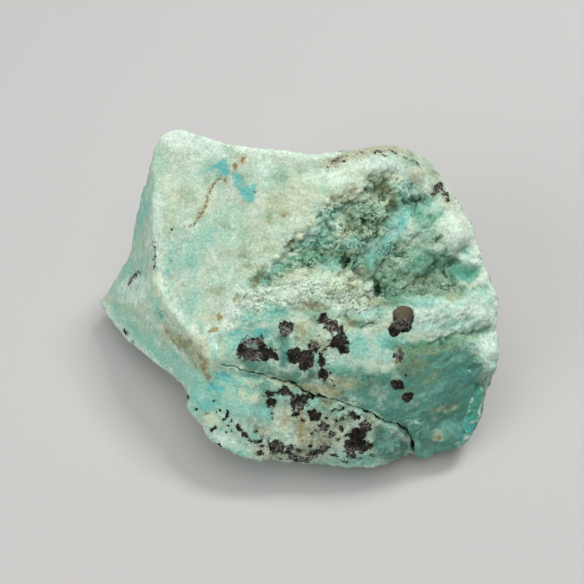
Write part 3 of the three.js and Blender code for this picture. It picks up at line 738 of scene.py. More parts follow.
        (225, 440, 14, 8, 25), (134, 290, 14, 16, 30), (344, 440, 10, 8), (370, 434, 5, 7),
        (472, 440, 4, 3), (330, 178, 30, 8, 5),
        Trail(2, ((108, 316), (130, 345), (152, 362), (172, 374), (186, 390))),
        Trail(2, ((196, 424), (206, 440), (222, 448))),
    )),
    # Thin white lines on the chipped right edge and the crack's lower lip: partly pale chipped edges,
    # partly painted highlights.
    Wash(Tint.WHITE, 1, 1.3, gather(
        (467, 437, 3.4, 2.8, -30), (486, 358, 3, 1.4), Trail(0.5, ((484, 388), (482.4, 402))),
        Trail(0.9, ((482.2, 403), (480.4, 413))), Trail(0.4, ((480.4, 413), (476.2, 424), (472, 433))),
        Trail(0, ((398, 431), (402, 435), (400, 438), (406, 440), (409, 445), (405, 455))),
        Trail(0, ((404, 422), (411, 420), (418, 421.5), (420, 425))),
        Trail(0.3, ((474, 400), (470, 410), (464, 418), (468, 424), (476, 420))),
        Trail(0.2, ((464, 418), (464, 426), (467, 432))), Trail(0.1, ((468, 424), (472, 430))),
        Trail(0.1, ((470, 410), (476, 412), (481, 410))), Trail(0.1, ((452, 445), (462, 443), (470, 440))),
        Trail(0.1, ((470, 352), (480, 354), (490, 352))), Trail(0.2, ((474, 362), (488, 366))),
        Trail(0.1, ((462, 372), (474, 371), (486, 366))),
    )),
    # Dark green in the pockets, grooves and folds: partly the stone's own dark green, partly painted shade;
    # the trails under the pale rib and the notch on the right edge are painted shadow.
    Wash(Tint.GREEN, 1, 5, gather(
        (383, 186, 8, 7, 20), (366, 219, 17, 5, 5), (360, 232, 12, 4), (334, 252, 20, 5, 2),
        (308, 259, 10, 3, -12), (373, 265, 10, 8, 10), (350, 263, 5, 5), (389, 249, 11, 5, -20),
        (386, 277, 20, 8), (388, 293, 20, 8, 4), (434, 262, 18, 7, -8), (430, 291, 32, 6, -4),
        (388, 264, 11, 6, 10), (452, 278, 6, 6), (368, 237, 7, 4), (394, 303, 8, 4),
        Trail(4, ((402, 348), (430, 346), (456, 344))),
    )),
    Wash(Tint.GREEN, 0.85, 5, gather(
        (256, 280, 5, 2, -40), (272, 280, 8, 3, -30), (290, 264, 5, 3, -30), (290, 244, 4, 3, -40),
        (263, 270, 3, 4, 30), (306, 262, 12, 3, -12), (319, 215, 2, 4.5), (394, 206, 7, 4, -10),
        (354, 323, 8, 5, 5), (456, 293, 12, 5, -4), (368, 278, 5, 5), (442, 348, 18, 4, -3),
        (448, 254, 8, 8, -15), (490, 382, 6, 3, -30), (402, 300, 12, 5), (480, 285, 6, 2.5),
        (316, 322, 5, 6, 10), (418, 200, 8, 5, -15), (425, 243, 12, 4), (318, 345, 10, 6), (394, 342, 8, 6),
        Trail(0.6, ((349, 268), (356, 272), (362, 278), (366, 284))),
        Trail(0.5, ((338, 268), (346, 272), (350, 279))),
        Trail(2, ((430, 343), (452, 341), (472, 335), (488, 328))),
    )),
    Wash(Tint.GREEN, 0.4, 12, gather(
        (282, 176, 8, 8), (425, 250, 34, 30, -20), (425, 362, 40, 12, -5), (352, 384, 34, 10, 10),
        (186, 345, 7, 24, -40), (306, 338, 16, 14), (158, 240, 3, 20), (272, 216, 14, 10),
        (245, 262, 12, 12), (224, 226, 10, 5), (330, 418, 20, 12), (424, 222, 20, 14, -15),
        (300, 388, 26, 8, 15),
    )),
    Wash(Tint.SKY, 0.85, 6, gather(
        (408, 192, 5, 3.5), (404, 214, 7, 7, 20), (396, 229, 5, 6), (384, 241, 8, 3, -30),
        (372, 250, 7, 4, -10), (355, 339, 12, 5, 10), (368, 354, 5, 3), (242, 334, 7, 4, -20),
    )),
    Wash(Tint.SKY, 0.7, 4, gather(
        (352, 246, 12, 4, -10), (365, 247, 8, 4), (304, 243, 6, 2.4, -35), (271, 304, 7, 3),
        (238, 345, 8, 4, -30), (384, 356, 10, 4), (470, 266, 4, 3), (250, 322, 12, 4, -5), (390, 228, 6, 4),
        (416, 300, 10, 2.5), (256, 412, 8, 3), (200, 392, 8, 5),
        Trail(1.6, ((213, 374), (224, 378), (240, 380))), Trail(2, ((374, 254), (371, 266), (372, 276))),
    )),
    Wash(Tint.TAN, 0.33, 12, gather(
        (290, 205, 34, 16, -32), (258, 234, 14, 14, -30), (130, 305, 18, 10, 20),
    )),
    Wash(Tint.TAN, 1.25, 2.6, gather(
        (243, 158, 4, 2.6, -45), (235, 167, 3.4, 3.4), (226, 181, 2.6, 3.4),
        Trail(1, ((221, 177), (213, 184), (209, 193), (205, 206), (200, 216), (194, 223))),
    )),
    Wash(Tint.TAN, 0.9, 4, gather(
        (301, 428, 4, 18, 3), (166, 330, 5, 5, -40), (176, 342, 8, 4, 45), (185, 338, 5, 3, 40),
        (194, 352, 9, 4.5, 40), (203, 364, 6, 7, -30), (207, 376, 3.5, 5, -30), (240, 163, 6, 4, -45),
        (234, 169, 4, 4), (256, 281, 3, 6, 40), (262, 432, 5, 6), (286, 418, 6, 5), (398, 357, 5, 7),
        (203, 346, 3, 9, -28), (312, 307, 10, 3, -4),
        Trail(5, ((328, 165), (342, 158), (360, 152), (384, 147), (402, 150))),
        Trail(2.5, ((306, 385), (320, 389), (338, 393))),
    )),
    Wash(Tint.TAN, 0.6, 7, gather(
        (322, 432, 22, 20), (352, 190, 12, 4, -30), (302, 454, 34, 8), (290, 412, 10, 4, 30),
        (372, 424, 6, 8), (270, 452, 24, 6, 10), (316, 346, 9, 8), (345, 384, 14, 5), (215, 320, 8, 6),
        (352, 320, 8, 6), Trail(4, ((440, 182), (452, 204), (462, 222))),
        Trail(3, ((404, 150), (424, 161), (438, 179))),
    )),
    Wash(Tint.OLIVE, 0.9, 4, gather(
        (312, 307, 15, 4, -4), (262, 274, 4, 7, 35), (373, 304, 7, 5.5), (288, 379, 8, 2.4, 15),
        (190, 352, 7, 2.4, 45), (176, 337, 6, 3, 45), (384, 188, 7, 7), (393, 196, 4, 8), (415, 176, 6, 4),
        (452, 298, 5, 3), (436, 172, 6, 2.5, 15), (273, 199, 3.5, 2.5), (283, 214, 6, 3), (271, 218, 3, 4),
        (311, 212, 5, 3), (292, 188, 2.5, 2.5), (247, 257, 4, 3), (290, 247, 3, 4), (236, 300, 2.5, 3),
        (372, 180, 8, 3, -10), (333, 392, 8, 3, 20), (301, 334, 6, 9), (345, 266, 4, 5),
        (306, 389, 10, 4, 30), (352, 286, 8, 3, 10), (350, 226, 6, 4), (326, 403, 6, 5),
    )),
    # Olive stains; those on the wall under the left ledge and under the rib's fold are painted shade.
    Wash(Tint.OLIVE, 0.6, 6, gather(
        (218, 290, 12, 6, -20), (226, 253, 8, 6), (178, 340, 14, 6, 45), (200, 362, 12, 8, 55),
        (160, 318, 4, 8, -20), (222, 336, 5, 8), (186, 196, 10, 10), (345, 254, 20, 5), (389, 304, 9, 4),
        (270, 249, 7, 5, -35), (425, 352, 20, 5, -10), (432, 278, 16, 5), (362, 272, 8, 6),
        (256, 277, 3, 8, 42), (289, 245, 6, 4, -40), (308, 226, 5, 3, -45), (330, 203, 6, 3, -30),
        (345, 383, 18, 7), (418, 366, 14, 8, -20), (345, 214, 12, 5, -20), (302, 424, 4, 14),
        (400, 366, 8, 8), (280, 376, 20, 3, 10), (366, 230, 10, 5),
        Trail(0.8, ((186, 272), (196, 262), (206, 252))), Trail(1.6, ((276, 379), (287, 382), (300, 389))),
        Trail(3, ((402, 392), (422, 384), (440, 374))), Trail(2, ((434, 411), (447, 409), (458, 406))),
    )),
    Wash(Tint.UMBER, 1, 2, gather(
        (167, 333, 3.5, 2, 50), (173, 341, 3, 1.6, 40), (183, 346, 5, 2, 40), (178, 349, 3, 1.2, 60),
        (199, 357, 3, 5, -30), (203, 367, 2.4, 4, -20), (208, 377, 2.6, 3.4, -20), (195, 366, 4, 1.2, 50),
        (191, 342, 3, 1.2, 60), (251, 346, 8, 5), (300, 453, 10, 3, -6), (338, 161, 6, 3, -35),
        (291, 250, 2.5, 1.6), (299, 238, 2, 1.4, -40), (382, 186, 5, 5), (219.5, 317, 1.2, 2.4, 20),
        (355, 202, 3, 1.2, -25), (312, 375, 5, 3),
    )),
    Wash(Tint.UMBER, 0.55, 4, gather(
        (212.5, 331, 2.4, 1.4, -20), (181, 344, 9, 2.6, 42), (201, 364, 8, 3, 55), (390, 190, 5, 5),
        (397, 358, 5, 5), (336, 391, 5, 3), (366, 152, 9, 4), (408, 154, 8, 4), (424, 292, 10, 3.5),
        (454, 291, 12, 3.5, -4), (326, 403, 6, 4), (301, 418, 3, 18), (296, 452, 24, 5), (320, 440, 14, 10),
        (310, 306, 12, 4), (444, 196, 3, 6, -30), (312, 392, 14, 4, 18), (314, 386, 13, 3, 15),
        Trail(2.6, ((330, 164), (342, 158), (360, 154), (380, 151), (398, 152))),
    )),
    # Dull umber; along the fold under the rib and beside the crack it is partly painted shade.
    Wash(Tint.UMBER, 0.46, 8, gather(
        (312, 436, 22, 10, 10), (346, 420, 12, 8), (326, 348, 7, 5), (394, 303, 14, 4), (426, 293, 12, 4),
        (456, 292, 14, 4, -4), (311, 375, 7, 4), (262, 388, 9, 4), (446, 348, 16, 4, -3), (368, 417, 7, 5),
        (284, 402, 5, 4), (342, 403, 6, 4), (316, 346, 12, 8), (372, 384, 10, 8), (410, 370, 14, 10),
        (330, 388, 20, 5, 15), (296, 458, 30, 5), (362, 222, 16, 6), (344, 156, 18, 6, -10),
        (336, 162, 9, 7, -35), (322, 152, 8, 3, -10),
        Trail(3, ((352, 153), (372, 148), (396, 149), (420, 166))),
    )),
    Wash(Tint.RUST, 1.5, 1.8, gather(
        (219.5, 317, 1.7, 3, 20), (212.5, 330.5, 3.2, 2.2, -20), (284, 215.5, 1.8, 1.3),
        (235.6, 166, 2, 2.8, 20), (243, 159, 2.2, 1.3, -50), (255, 192, 0.9, 0.9), (207, 413.5, 1.6, 1),
        (234.5, 300, 1.2, 1.6), (440, 437, 1.2, 1.3),
    )),
    Wash(Tint.RUST, 0.55, 3, gather(
        (301, 432, 2.8, 12, 5), (247, 386, 1.6, 3, -35), (286, 414, 2, 2), (372, 323, 3, 3),
        (369, 341, 2, 2.4), (204, 346, 2.6, 3), (206, 370, 2, 4, -30), (350, 184, 5, 2, -30),
        (353, 188, 3.2, 1.8, -30), Trail(1, ((278, 379), (291, 384), (298, 389))),
    )),
)
HIDDEN_MOST = {
    Tint.RUST: 0.36, Tint.UMBER: 0.45, Tint.OLIVE: 0.50, Tint.TAN: 0.62, Tint.TEAL: 0.60,
}
HIDDEN_USUAL = 0.70
BROWN_VEIN = gather(
    (243, 159, 1.9, 1.1, -45), (236, 166.5, 1.4, 2.6, 30), (225, 180, 1.4, 2), (242, 176, 0.8, 1.6),
    (255, 192.5, 1.2, 0.9),
    Trail(1.1, (
        (221, 176.5), (217, 180), (213.5, 184), (210.5, 190), (207.5, 197), (206.5, 204), (203, 210),
        (199, 217), (195, 223.5), (190.5, 226.5),
    )),
)
FAINT_VEIN = Trail(0.8, ((191, 226), (180, 227.5), (172, 227)))
BROWN_CAP = Oval(403, 312.5, 10.5, 7, 5)
# fmt: on


# ---------------------------------------------------------------- the skin


def read_mesh(mesh: bmesh.types.BMesh) -> tuple[Rows, Rows]:
    """Take a mesh's points and triangles out as rows, and free the mesh.

    Args:
        mesh: The mesh that was edited.

    Returns:
        Its points in its own units, and its triangles.
    """
    bmesh.ops.triangulate(mesh, faces=mesh.faces)
    mesh.verts.index_update()
    points = np.array([v.co for v in mesh.verts], float)
    faces = np.array([[v.index for v in f.verts] for f in mesh.faces], int)
    mesh.free()
    return points, faces


@dataclass
class Skin:
    """A closed triangle skin, in mm, that is split finer, eased and raised."""

    points: Rows
    faces: Rows

    @classmethod
    def of_node(cls, name: str) -> "Skin":
        """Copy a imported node's skin, with the corners that share a place made one.

        Args:
            name: The node.

        Returns:
            The skin, in mm.
        """
        mesh = bmesh.new()
        mesh.from_mesh(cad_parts[name].data)
        bmesh.ops.remove_doubles(mesh, verts=mesh.verts, dist=SAME_PLACE)
        points, faces = read_mesh(mesh)
        return cls(points / MM, faces)

    def edges(self) -> tuple[Rows, Rows]:
        """List the edges once each, and each face's three edges by number."""
        count = len(self.points)
        pairs = np.sort(self.faces[:, ((0, 1), (1, 2), (2, 0))].reshape(-1, 2), axis=1)
        keys, sides = np.unique(pairs[:, 0] * count + pairs[:, 1], return_inverse=True)
        return np.stack((keys // count, keys % count), axis=1), sides.reshape(-1, 3)

    def normals(self) -> Rows:
        """Work out each point's outward way, as the mean of the faces round it."""
        a, b, c = (self.points[self.faces[:, k]] for k in range(3))
        across = np.cross(b - a, c - a)
        total = np.zeros_like(self.points)
        for corner in range(3):
            for axis in range(3):
                total[:, axis] += np.bincount(
                    self.faces[:, corner], across[:, axis], len(self.points)
                )
        return unit(total)

    def split(self, limit: Rows) -> int:
        """Halve each edge that is longer than its ends allow, and keep the skin closed.

        Args:
            limit: The longest edge that each point allows, in mm.

        Returns:
            How many edges were halved.
        """
        edges, sides = self.edges()
        ends = self.points[edges]
        length = np.linalg.norm(ends[:, 0] - ends[:, 1], axis=1)
        marked = length > limit[edges].mean(axis=1)
        rows = np.arange(len(sides))
        first = np.argmax(length[sides], axis=1)
        while True:
            before = marked.sum()
            marked[sides[rows, first][marked[sides].any(axis=1)]] = True
            if marked.sum() == before:
                break
        number = np.full(len(edges), -1)
        number[marked] = len(self.points) + np.arange(marked.sum())
        order = (first[:, None] + np.arange(3)) % 3
        a, b, c = self.faces[rows[:, None], order].T
        ab, bc, ca = number[sides[rows[:, None], order]].T
        one, two, three = ab >= 0, bc >= 0, ca >= 0
        shapes = (
            (~one, ((a, b, c),)),
            (one & ~two & ~three, ((a, ab, c), (ab, b, c))),
            (one & two & ~three, ((a, ab, c), (ab, b, bc), (ab, bc, c))),
            (one & ~two & three, ((a, ab, ca), (ab, b, c), (ab, c, ca))),
            (one & two & three, ((a, ab, ca), (ab, b, bc), (ca, bc, c), (ab, bc, ca))),
        )
        self.faces = np.vstack([
            np.stack([corner[which] for corner in face], axis=1)
            for which, faces in shapes
            for face in faces
        ])
        self.points = np.vstack((self.points, ends[marked].mean(axis=1)))
        return int(marked.sum())

    def mean_of_neighbours(self, values: Rows, edges: Rows) -> Rows:
        """Average what each point's neighbours have.

        Args:
            values: One row of numbers for each point.
            edges: The skin's edges.

        Returns:
            The means, one row for each point.
        """
        count = len(self.points)
        a, b = edges.T
        share = np.bincount(a, minlength=count) + np.bincount(b, minlength=count)
        columns = values.reshape(count, -1)
        sums = [np.bincount(a, col[b], count) + np.bincount(b, col[a], count) for col in columns.T]
        return (np.stack(sums, axis=1) / share[:, None]).reshape(values.shape)

    def settle(self, passes: int, pull: Rows) -> None:
        """Spread the skin's steps out where it is asked to.

        Args:
            passes: How many times.
            pull: Each point's share of the way to its neighbours' mean.
        """
        edges, _ = self.edges()
        for _ in range(passes):
            mean = self.mean_of_neighbours(self.points, edges)
            self.points += (mean - self.points) * pull[:, None]

    def ease(self, passes: int, pull: float = 0.5, push: float = 0.52) -> None:
        """Round the skin a little without shrinking it.

        Args:
            passes: How many times.
            pull: Share of the way to the neighbours' mean.
            push: Share of the way back out.
        """
        edges, _ = self.edges()
        for _ in range(passes):
            for share in (pull, -push):
                mean = self.mean_of_neighbours(self.points, edges)
                self.points += (mean - self.points) * share


# ---------------------------------------------------------------- relief


class Seed(IntEnum):
    """Which noise each effect takes, so that no two are alike."""

    SWELL = 1
    LUMPS = 2
    BLOCKS = 3
    STREAKS = 4
    SUGAR = 5
    GRIT = 6
    PITS = 7
    CLUSTERS = 8
    CREASES = 9
    GROUND_SHAKE = 31
    FORM_SHAKE = 35
    TINT_SHAKE = 41
    HIDDEN_TINTS = 50
    CROWDING = 71


@dataclass(frozen=True)
class Relief:
    """The shapes of grain that the grounds mix, each from about -1 to 1.

    Sizes are in mm. Spans are what ease rises over, and shares are parts of a full grain.
    """

    swell_size: float = 9.0
    lump_size: float = 2.4
    block_size: float = 1.35
    sugar_size: float = 0.85
    pit_size: float = 1.15
    crease_size: float = 2.2
    grit_size: float = 0.6
    cluster_size: float = 3.2
    streak_long: float = 3.6
    streak_thin: float = 0.9
    streak_way: Place = (0.86, 0.36, 0.36)
    cluster_span: Span = (-0.25, 0.25)
    pit_span: Span = (0.12, 0.42)
    crease_span: Span = (0.13, 0.0)
    least_blocks: float = 0.35
    least_creases: float = 0.3
    gap_depth: float = 0.8
    sugar_height: float = 0.8
    cloud_fall: float = 0.9
    cloud_step: float = 2.0
    cloud_shift: Place = (17.3, -9.1, 5.7)
    block_shift: Place = (11.9, 3.3, -7.7)
    block_bends: float = 0.7
    block_bend: float = 0.45
    block_chance: float = 37.0
    block_rise: float = 0.8
    block_slope: float = 2.2
    block_gap: float = 0.2

    def cloud(self, points: Rows, size: float, octaves: int, seed: int) -> Rows:
        """Sample soft noise.

        Args:
            points: Where, in mm.
            size: Size of its largest forms, in mm.
            octaves: How many finer layers it has.
            seed: Which noise.

        Returns:
            Values of about -1 to 1.
        """
        shift = Vector([seed * step for step in self.cloud_shift])
        places = (Vector(p) / size + shift for p in points)
        return np.array([noise.fractal(p, self.cloud_fall, self.cloud_step, octaves) for p in places])

    def blocks(self, points: Rows, size: float, seed: int) -> tuple[Rows, Rows]:
        """Sample angular blocks: each cell has its own height and its own slope.

        Args:
            points: Where, in mm.
            size: Width of a block, in mm.
            seed: Which blocks.

        Returns:
            Their height, and how near each point is to a gap, from 0 to 1.
        """
        shift = Vector([seed * step for step in self.block_shift])
        height = np.empty(len(points))
        gap = np.empty(len(points))
        for i, p in enumerate(points):
            place = Vector(p) / size + shift
            place += noise.noise_vector(place * self.block_bends) * self.block_bend
            away, seeds = noise.voronoi(place, distance_metric="DISTANCE")
            own = noise.cell_vector(seeds[0] * self.block_chance)
            slope = own - Vector((0.5, 0.5, 0.5))
            level = (own.x + own.y - 1.0) * self.block_rise
            height[i] = level + (place - seeds[0]).dot(slope) * self.block_slope
            gap[i] = max(0.0, 1.0 - (away[1] - away[0]) / self.block_gap)
        return height, gap

    def streaks(self, points: Rows, seed: int) -> Rows:
        """Sample slanting grooves that run one way over the stone."""
        way = np.array(self.streak_way) / np.linalg.norm(self.streak_way)
        along = points @ way
        squeezed = points - np.outer(along * (1.0 - self.streak_thin / self.streak_long), way)
        return self.cloud(squeezed, self.streak_thin, 3, seed)

    def kinds(self, points: Rows) -> dict[str, Rows]:
        """Sample every kind of grain.

        Args:
            points: Where, in mm.

        Returns:
            Each kind by name.
        """
        blocks, gap = self.blocks(points, self.block_size, Seed.BLOCKS)
        sugar, _ = self.blocks(points, self.sugar_size, Seed.SUGAR)
        some = ease(*self.cluster_span, self.cloud(points, self.cluster_size, 2, Seed.CLUSTERS))
        pits = ease(*self.pit_span, self.cloud(points, self.pit_size, 4, Seed.PITS))
        folds = np.abs(self.cloud(points, self.crease_size, 4, Seed.CREASES))
        folds = ease(*self.crease_span, folds)
        return {
            "swell": self.cloud(points, self.swell_size, 2, Seed.SWELL),
            "lumps": self.cloud(points, self.lump_size, 3, Seed.LUMPS),
            "blocks": (blocks - self.gap_depth * gap) * at_least(self.least_blocks, some),
            "sugar": sugar * self.sugar_height,
            "streaks": self.streaks(points, Seed.STREAKS),
            "pits": -pits,
            "creases": -folds * at_least(self.least_creases, some),
            "grit": self.cloud(points, self.grit_size, 2, Seed.GRIT),
        }


# ---------------------------------------------------------------- shader benches


class Bench:
    """Lays nodes in one shader tree and joins them."""

    def __init__(self, tree: Tree) -> None:
        """Take the tree that the nodes go in."""
        self.tree = tree

    def node(self, kind: str, **settings: object) -> bpy.types.Node:
        """Add a node.

        Args:
            kind: Its type, without the ShaderNode that begins it.
            settings: Its own settings.

        Returns:
            The node.
        """
        made = self.tree.nodes.new("ShaderNode" + kind)
        for name, value in settings.items():
            setattr(made, name, value)
        return made

    def feed(self, socket: Socket, value: object) -> None:
        """Join a socket to another one, or set its value."""
        if isinstance(value, Socket):
            self.tree.links.new(value, socket)
        elif socket.type == "RGBA" and len(value) == 3:
            socket.default_value = (*value, 1.0)
        else:
            socket.default_value = value

    def math(self, what: str, *values: object, clamp: bool = False) -> Socket:
        """Work a sum.

        Args:
            what: The Math node's operation.
            values: One to three sockets or numbers.
            clamp: Whether the answer is kept from 0 to 1.

        Returns:
            The answer's socket.
        """
        made = self.node("Math", operation=what, use_clamp=clamp)
        for socket, value in zip(made.inputs, values):
            self.feed(socket, value)
        return made.outputs[0]

    def times(self, value: object, other: object, clamp: bool = False) -> Socket:
        """Multiply two masks, or take a part of one."""
        return self.math("MULTIPLY", value, other, clamp=clamp)

    def blend(self, share: object, under: object, over: object) -> Socket:
        """Lay one colour over another by a share of 0 to 1."""
        made = self.node("Mix", data_type="RGBA", clamp_factor=True)
        self.feed(made.inputs[0], share)
        self.feed(made.inputs[6], under)
        self.feed(made.inputs[7], over)
        return made.outputs[2]

    def span(self, value: object, low: object, high: object, start: float = 0.0,
             end: float = 1.0) -> Socket:
        """Turn a value's span into another, smoothly.

        Args:
            value: The value.
            low: Where the span starts.
            high: Where it ends.
            start: What low turns into.
            end: What high turns into.

        Returns:
            The new value's socket.
        """
        made = self.node("MapRange", interpolation_type="SMOOTHSTEP")
        for socket, given in zip(made.inputs, (value, low, high, start, end)):
            self.feed(socket, given)
        return made.outputs[0]

    def attribute(self, name: str) -> Socket:
        """Read one of the mesh's own attributes."""
        return self.node("Attribute", attribute_name=name).outputs["Fac"]

    def fall(self, value: object, low: float, high: float) -> Socket:
        """Turn a value's span into a mask that falls smoothly from 1 to 0."""
        return self.span(value, low, high, 1.0, 0.0)

    def cloud(self, **values: object) -> Socket:
        """Place soft noise, which lies mostly from 0.3 to 0.7."""
        return self.fed("TexNoise", {}, **values).outputs["Fac"]

    def fed(self, kind: str, settings: dict[str, object], **values: object) -> bpy.types.Node:
        """Add a node with settings of its own, and feed its sockets by name."""
        made = self.node(kind, **settings)
        for name, value in values.items():
            self.feed(made.inputs[name], value)
        return made


class Effects:
    """The shader node groups that the stone and its crystals share."""

    def __init__(self, relief: Relief) -> None:
        """Build each group once."""
        self.ragged = self.build_ragged()
        self.mottle = self.build_mottle()
        self.sugar = self.build_sugar()
        self.streaks = self.build_streaks(relief)

    @staticmethod
    def start(name: str, inputs: dict[str, object],
              outputs: Sequence[str]) -> tuple[Bench, Sockets, Sockets]:
        """Begin a group.

        Args:
            name: Its name.
            inputs: Each input socket's name and first value, None for a vector.
            outputs: The output sockets' names, all plain values.

        Returns:
            A bench for its tree, what the tree is given and what it puts out.
        """
        tree = bpy.data.node_groups.new(name, "ShaderNodeTree")
        for label, value in inputs.items():
            kind = "NodeSocketVector" if value is None else "NodeSocketFloat"
            socket = tree.interface.new_socket(label, in_out="INPUT", socket_type=kind)
            if value is not None:
                socket.default_value = value
        for label in outputs:
            tree.interface.new_socket(label, in_out="OUTPUT", socket_type="NodeSocketFloat")
        given = tree.nodes.new("NodeGroupInput").outputs
        out = tree.nodes.new("NodeGroupOutput").inputs
        return Bench(tree), given, out

    def build_ragged(self) -> Tree:
        """Build the effect that turns a distance into a patch with a ragged edge."""
        inputs = {"Vector": None, "Field": 0.0, "Rag": 1.0, "Scale": 1.0, "Edge": 0.3}
        bench, given, out = self.start("ragged_patch", inputs, ("Mask",))
        cloud = bench.cloud(Vector=given["Vector"], Scale=given["Scale"], Detail=6.0, Roughness=0.68)
        push = bench.times(bench.math("SUBTRACT", cloud, 0.5), 2.0)
        moved = bench.math("MULTIPLY_ADD", push, given["Rag"], given["Field"])
        share = bench.math("DIVIDE", moved, given["Edge"])
        bench.feed(out["Mask"], bench.fall(share, -1.0, 1.0))
        return bench.tree

    def build_mottle(self) -> Tree:
        """Build the effect that gives cloudy patches with a chosen contrast."""
        inputs = {"Vector": None, "Scale": 1.0, "Detail": 4.0, "Low": 0.4, "High": 0.6}
        bench, given, out = self.start("stone_mottle", inputs, ("Value",))
        cloud = bench.cloud(Vector=given["Vector"], Scale=given["Scale"], Detail=given["Detail"],
                            Roughness=0.62)
        bench.feed(out["Value"], bench.span(cloud, given["Low"], given["High"]))
        return bench.tree

    def build_sugar(self) -> Tree:
        """Build the effect of small packed grains: a tone for each and the gaps between."""
        inputs = {"Vector": None, "Scale": 1.0}
        bench, given, out = self.start("sugar_grains", inputs, ("Tone", "Gap"))
        where = {"Vector": given["Vector"], "Scale": given["Scale"]}
        cells = bench.fed("TexVoronoi", {"feature": "F1"}, **where)
        gaps = bench.fed("TexVoronoi", {"feature": "DISTANCE_TO_EDGE"}, **where)
        parts = bench.node("SeparateColor")
        bench.feed(parts.inputs[0], cells.outputs["Color"])
        bench.feed(out["Tone"], parts.outputs[0])
        bench.feed(out["Gap"], bench.fall(gaps.outputs["Distance"], 0.0, 0.14))
        return bench.tree

    def build_streaks(self, relief: Relief) -> Tree:
        """Build the effect of slanting bands: where they are pale and where they are dark."""
        inputs = {"Vector": None, "Scale": 1.0}
        bench, given, out = self.start("slanting_bands", inputs, ("Pale", "Dark"))
        way = Vector(relief.streak_way).normalized()
        squeeze = relief.streak_thin / relief.streak_long - 1.0
        along = bench.node("VectorMath", operation="DOT_PRODUCT")
        bench.feed(along.inputs[0], given["Vector"])
        bench.feed(along.inputs[1], way * squeeze)
        back = bench.node("VectorMath", operation="SCALE")
        bench.feed(back.inputs[0], way)
        bench.feed(back.inputs["Scale"], along.outputs["Value"])
        place = bench.node("VectorMath", operation="ADD")
        bench.feed(place.inputs[0], given["Vector"])
        bench.feed(place.inputs[1], back.outputs[0])
        cloud = bench.cloud(Vector=place.outputs[0], Scale=given["Scale"], Detail=5.0,
                            Roughness=0.65)
        bench.feed(out["Pale"], bench.span(cloud, 0.52, 0.64))
        bench.feed(out["Dark"], bench.fall(cloud, 0.36, 0.47))
        return bench.tree


# ---------------------------------------------------------------- finishes


@dataclass(frozen=True)
class Cover:
    """A tint's ragged patches: how many go to a mm, their edge's width and the most they cover."""

    tint: Tint
    scale: float
    edge: float
    most: float


UNDER_FROST = (
    Cover(Tint.FERN, 0.45, 0.55, 0.80),
    Cover(Tint.TEAL, 0.35, 0.55, 0.94),
    Cover(Tint.AQUA, 0.35, 0.60, 0.85),
    Cover(Tint.TURQUOISE, 0.55, 0.50, 0.88),
    Cover(Tint.EMERALD, 0.60, 0.55, 0.88),
    Cover(Tint.CREAM, 0.60, 0.60, 0.62),
    Cover(Tint.WHITE, 0.60, 0.55, 0.82),
    Cover(Tint.GREEN, 0.60, 0.50, 0.70),
)
OVER_FROST = (
    Cover(Tint.SKY, 0.70, 0.55, 0.75),
    Cover(Tint.TAN, 1.30, 0.60, 0.80),
    Cover(Tint.OLIVE, 0.80, 0.60, 0.50),
    Cover(Tint.UMBER, 1.10, 0.40, 0.60),
    Cover(Tint.RUST, 1.30, 0.40, 0.85),
)


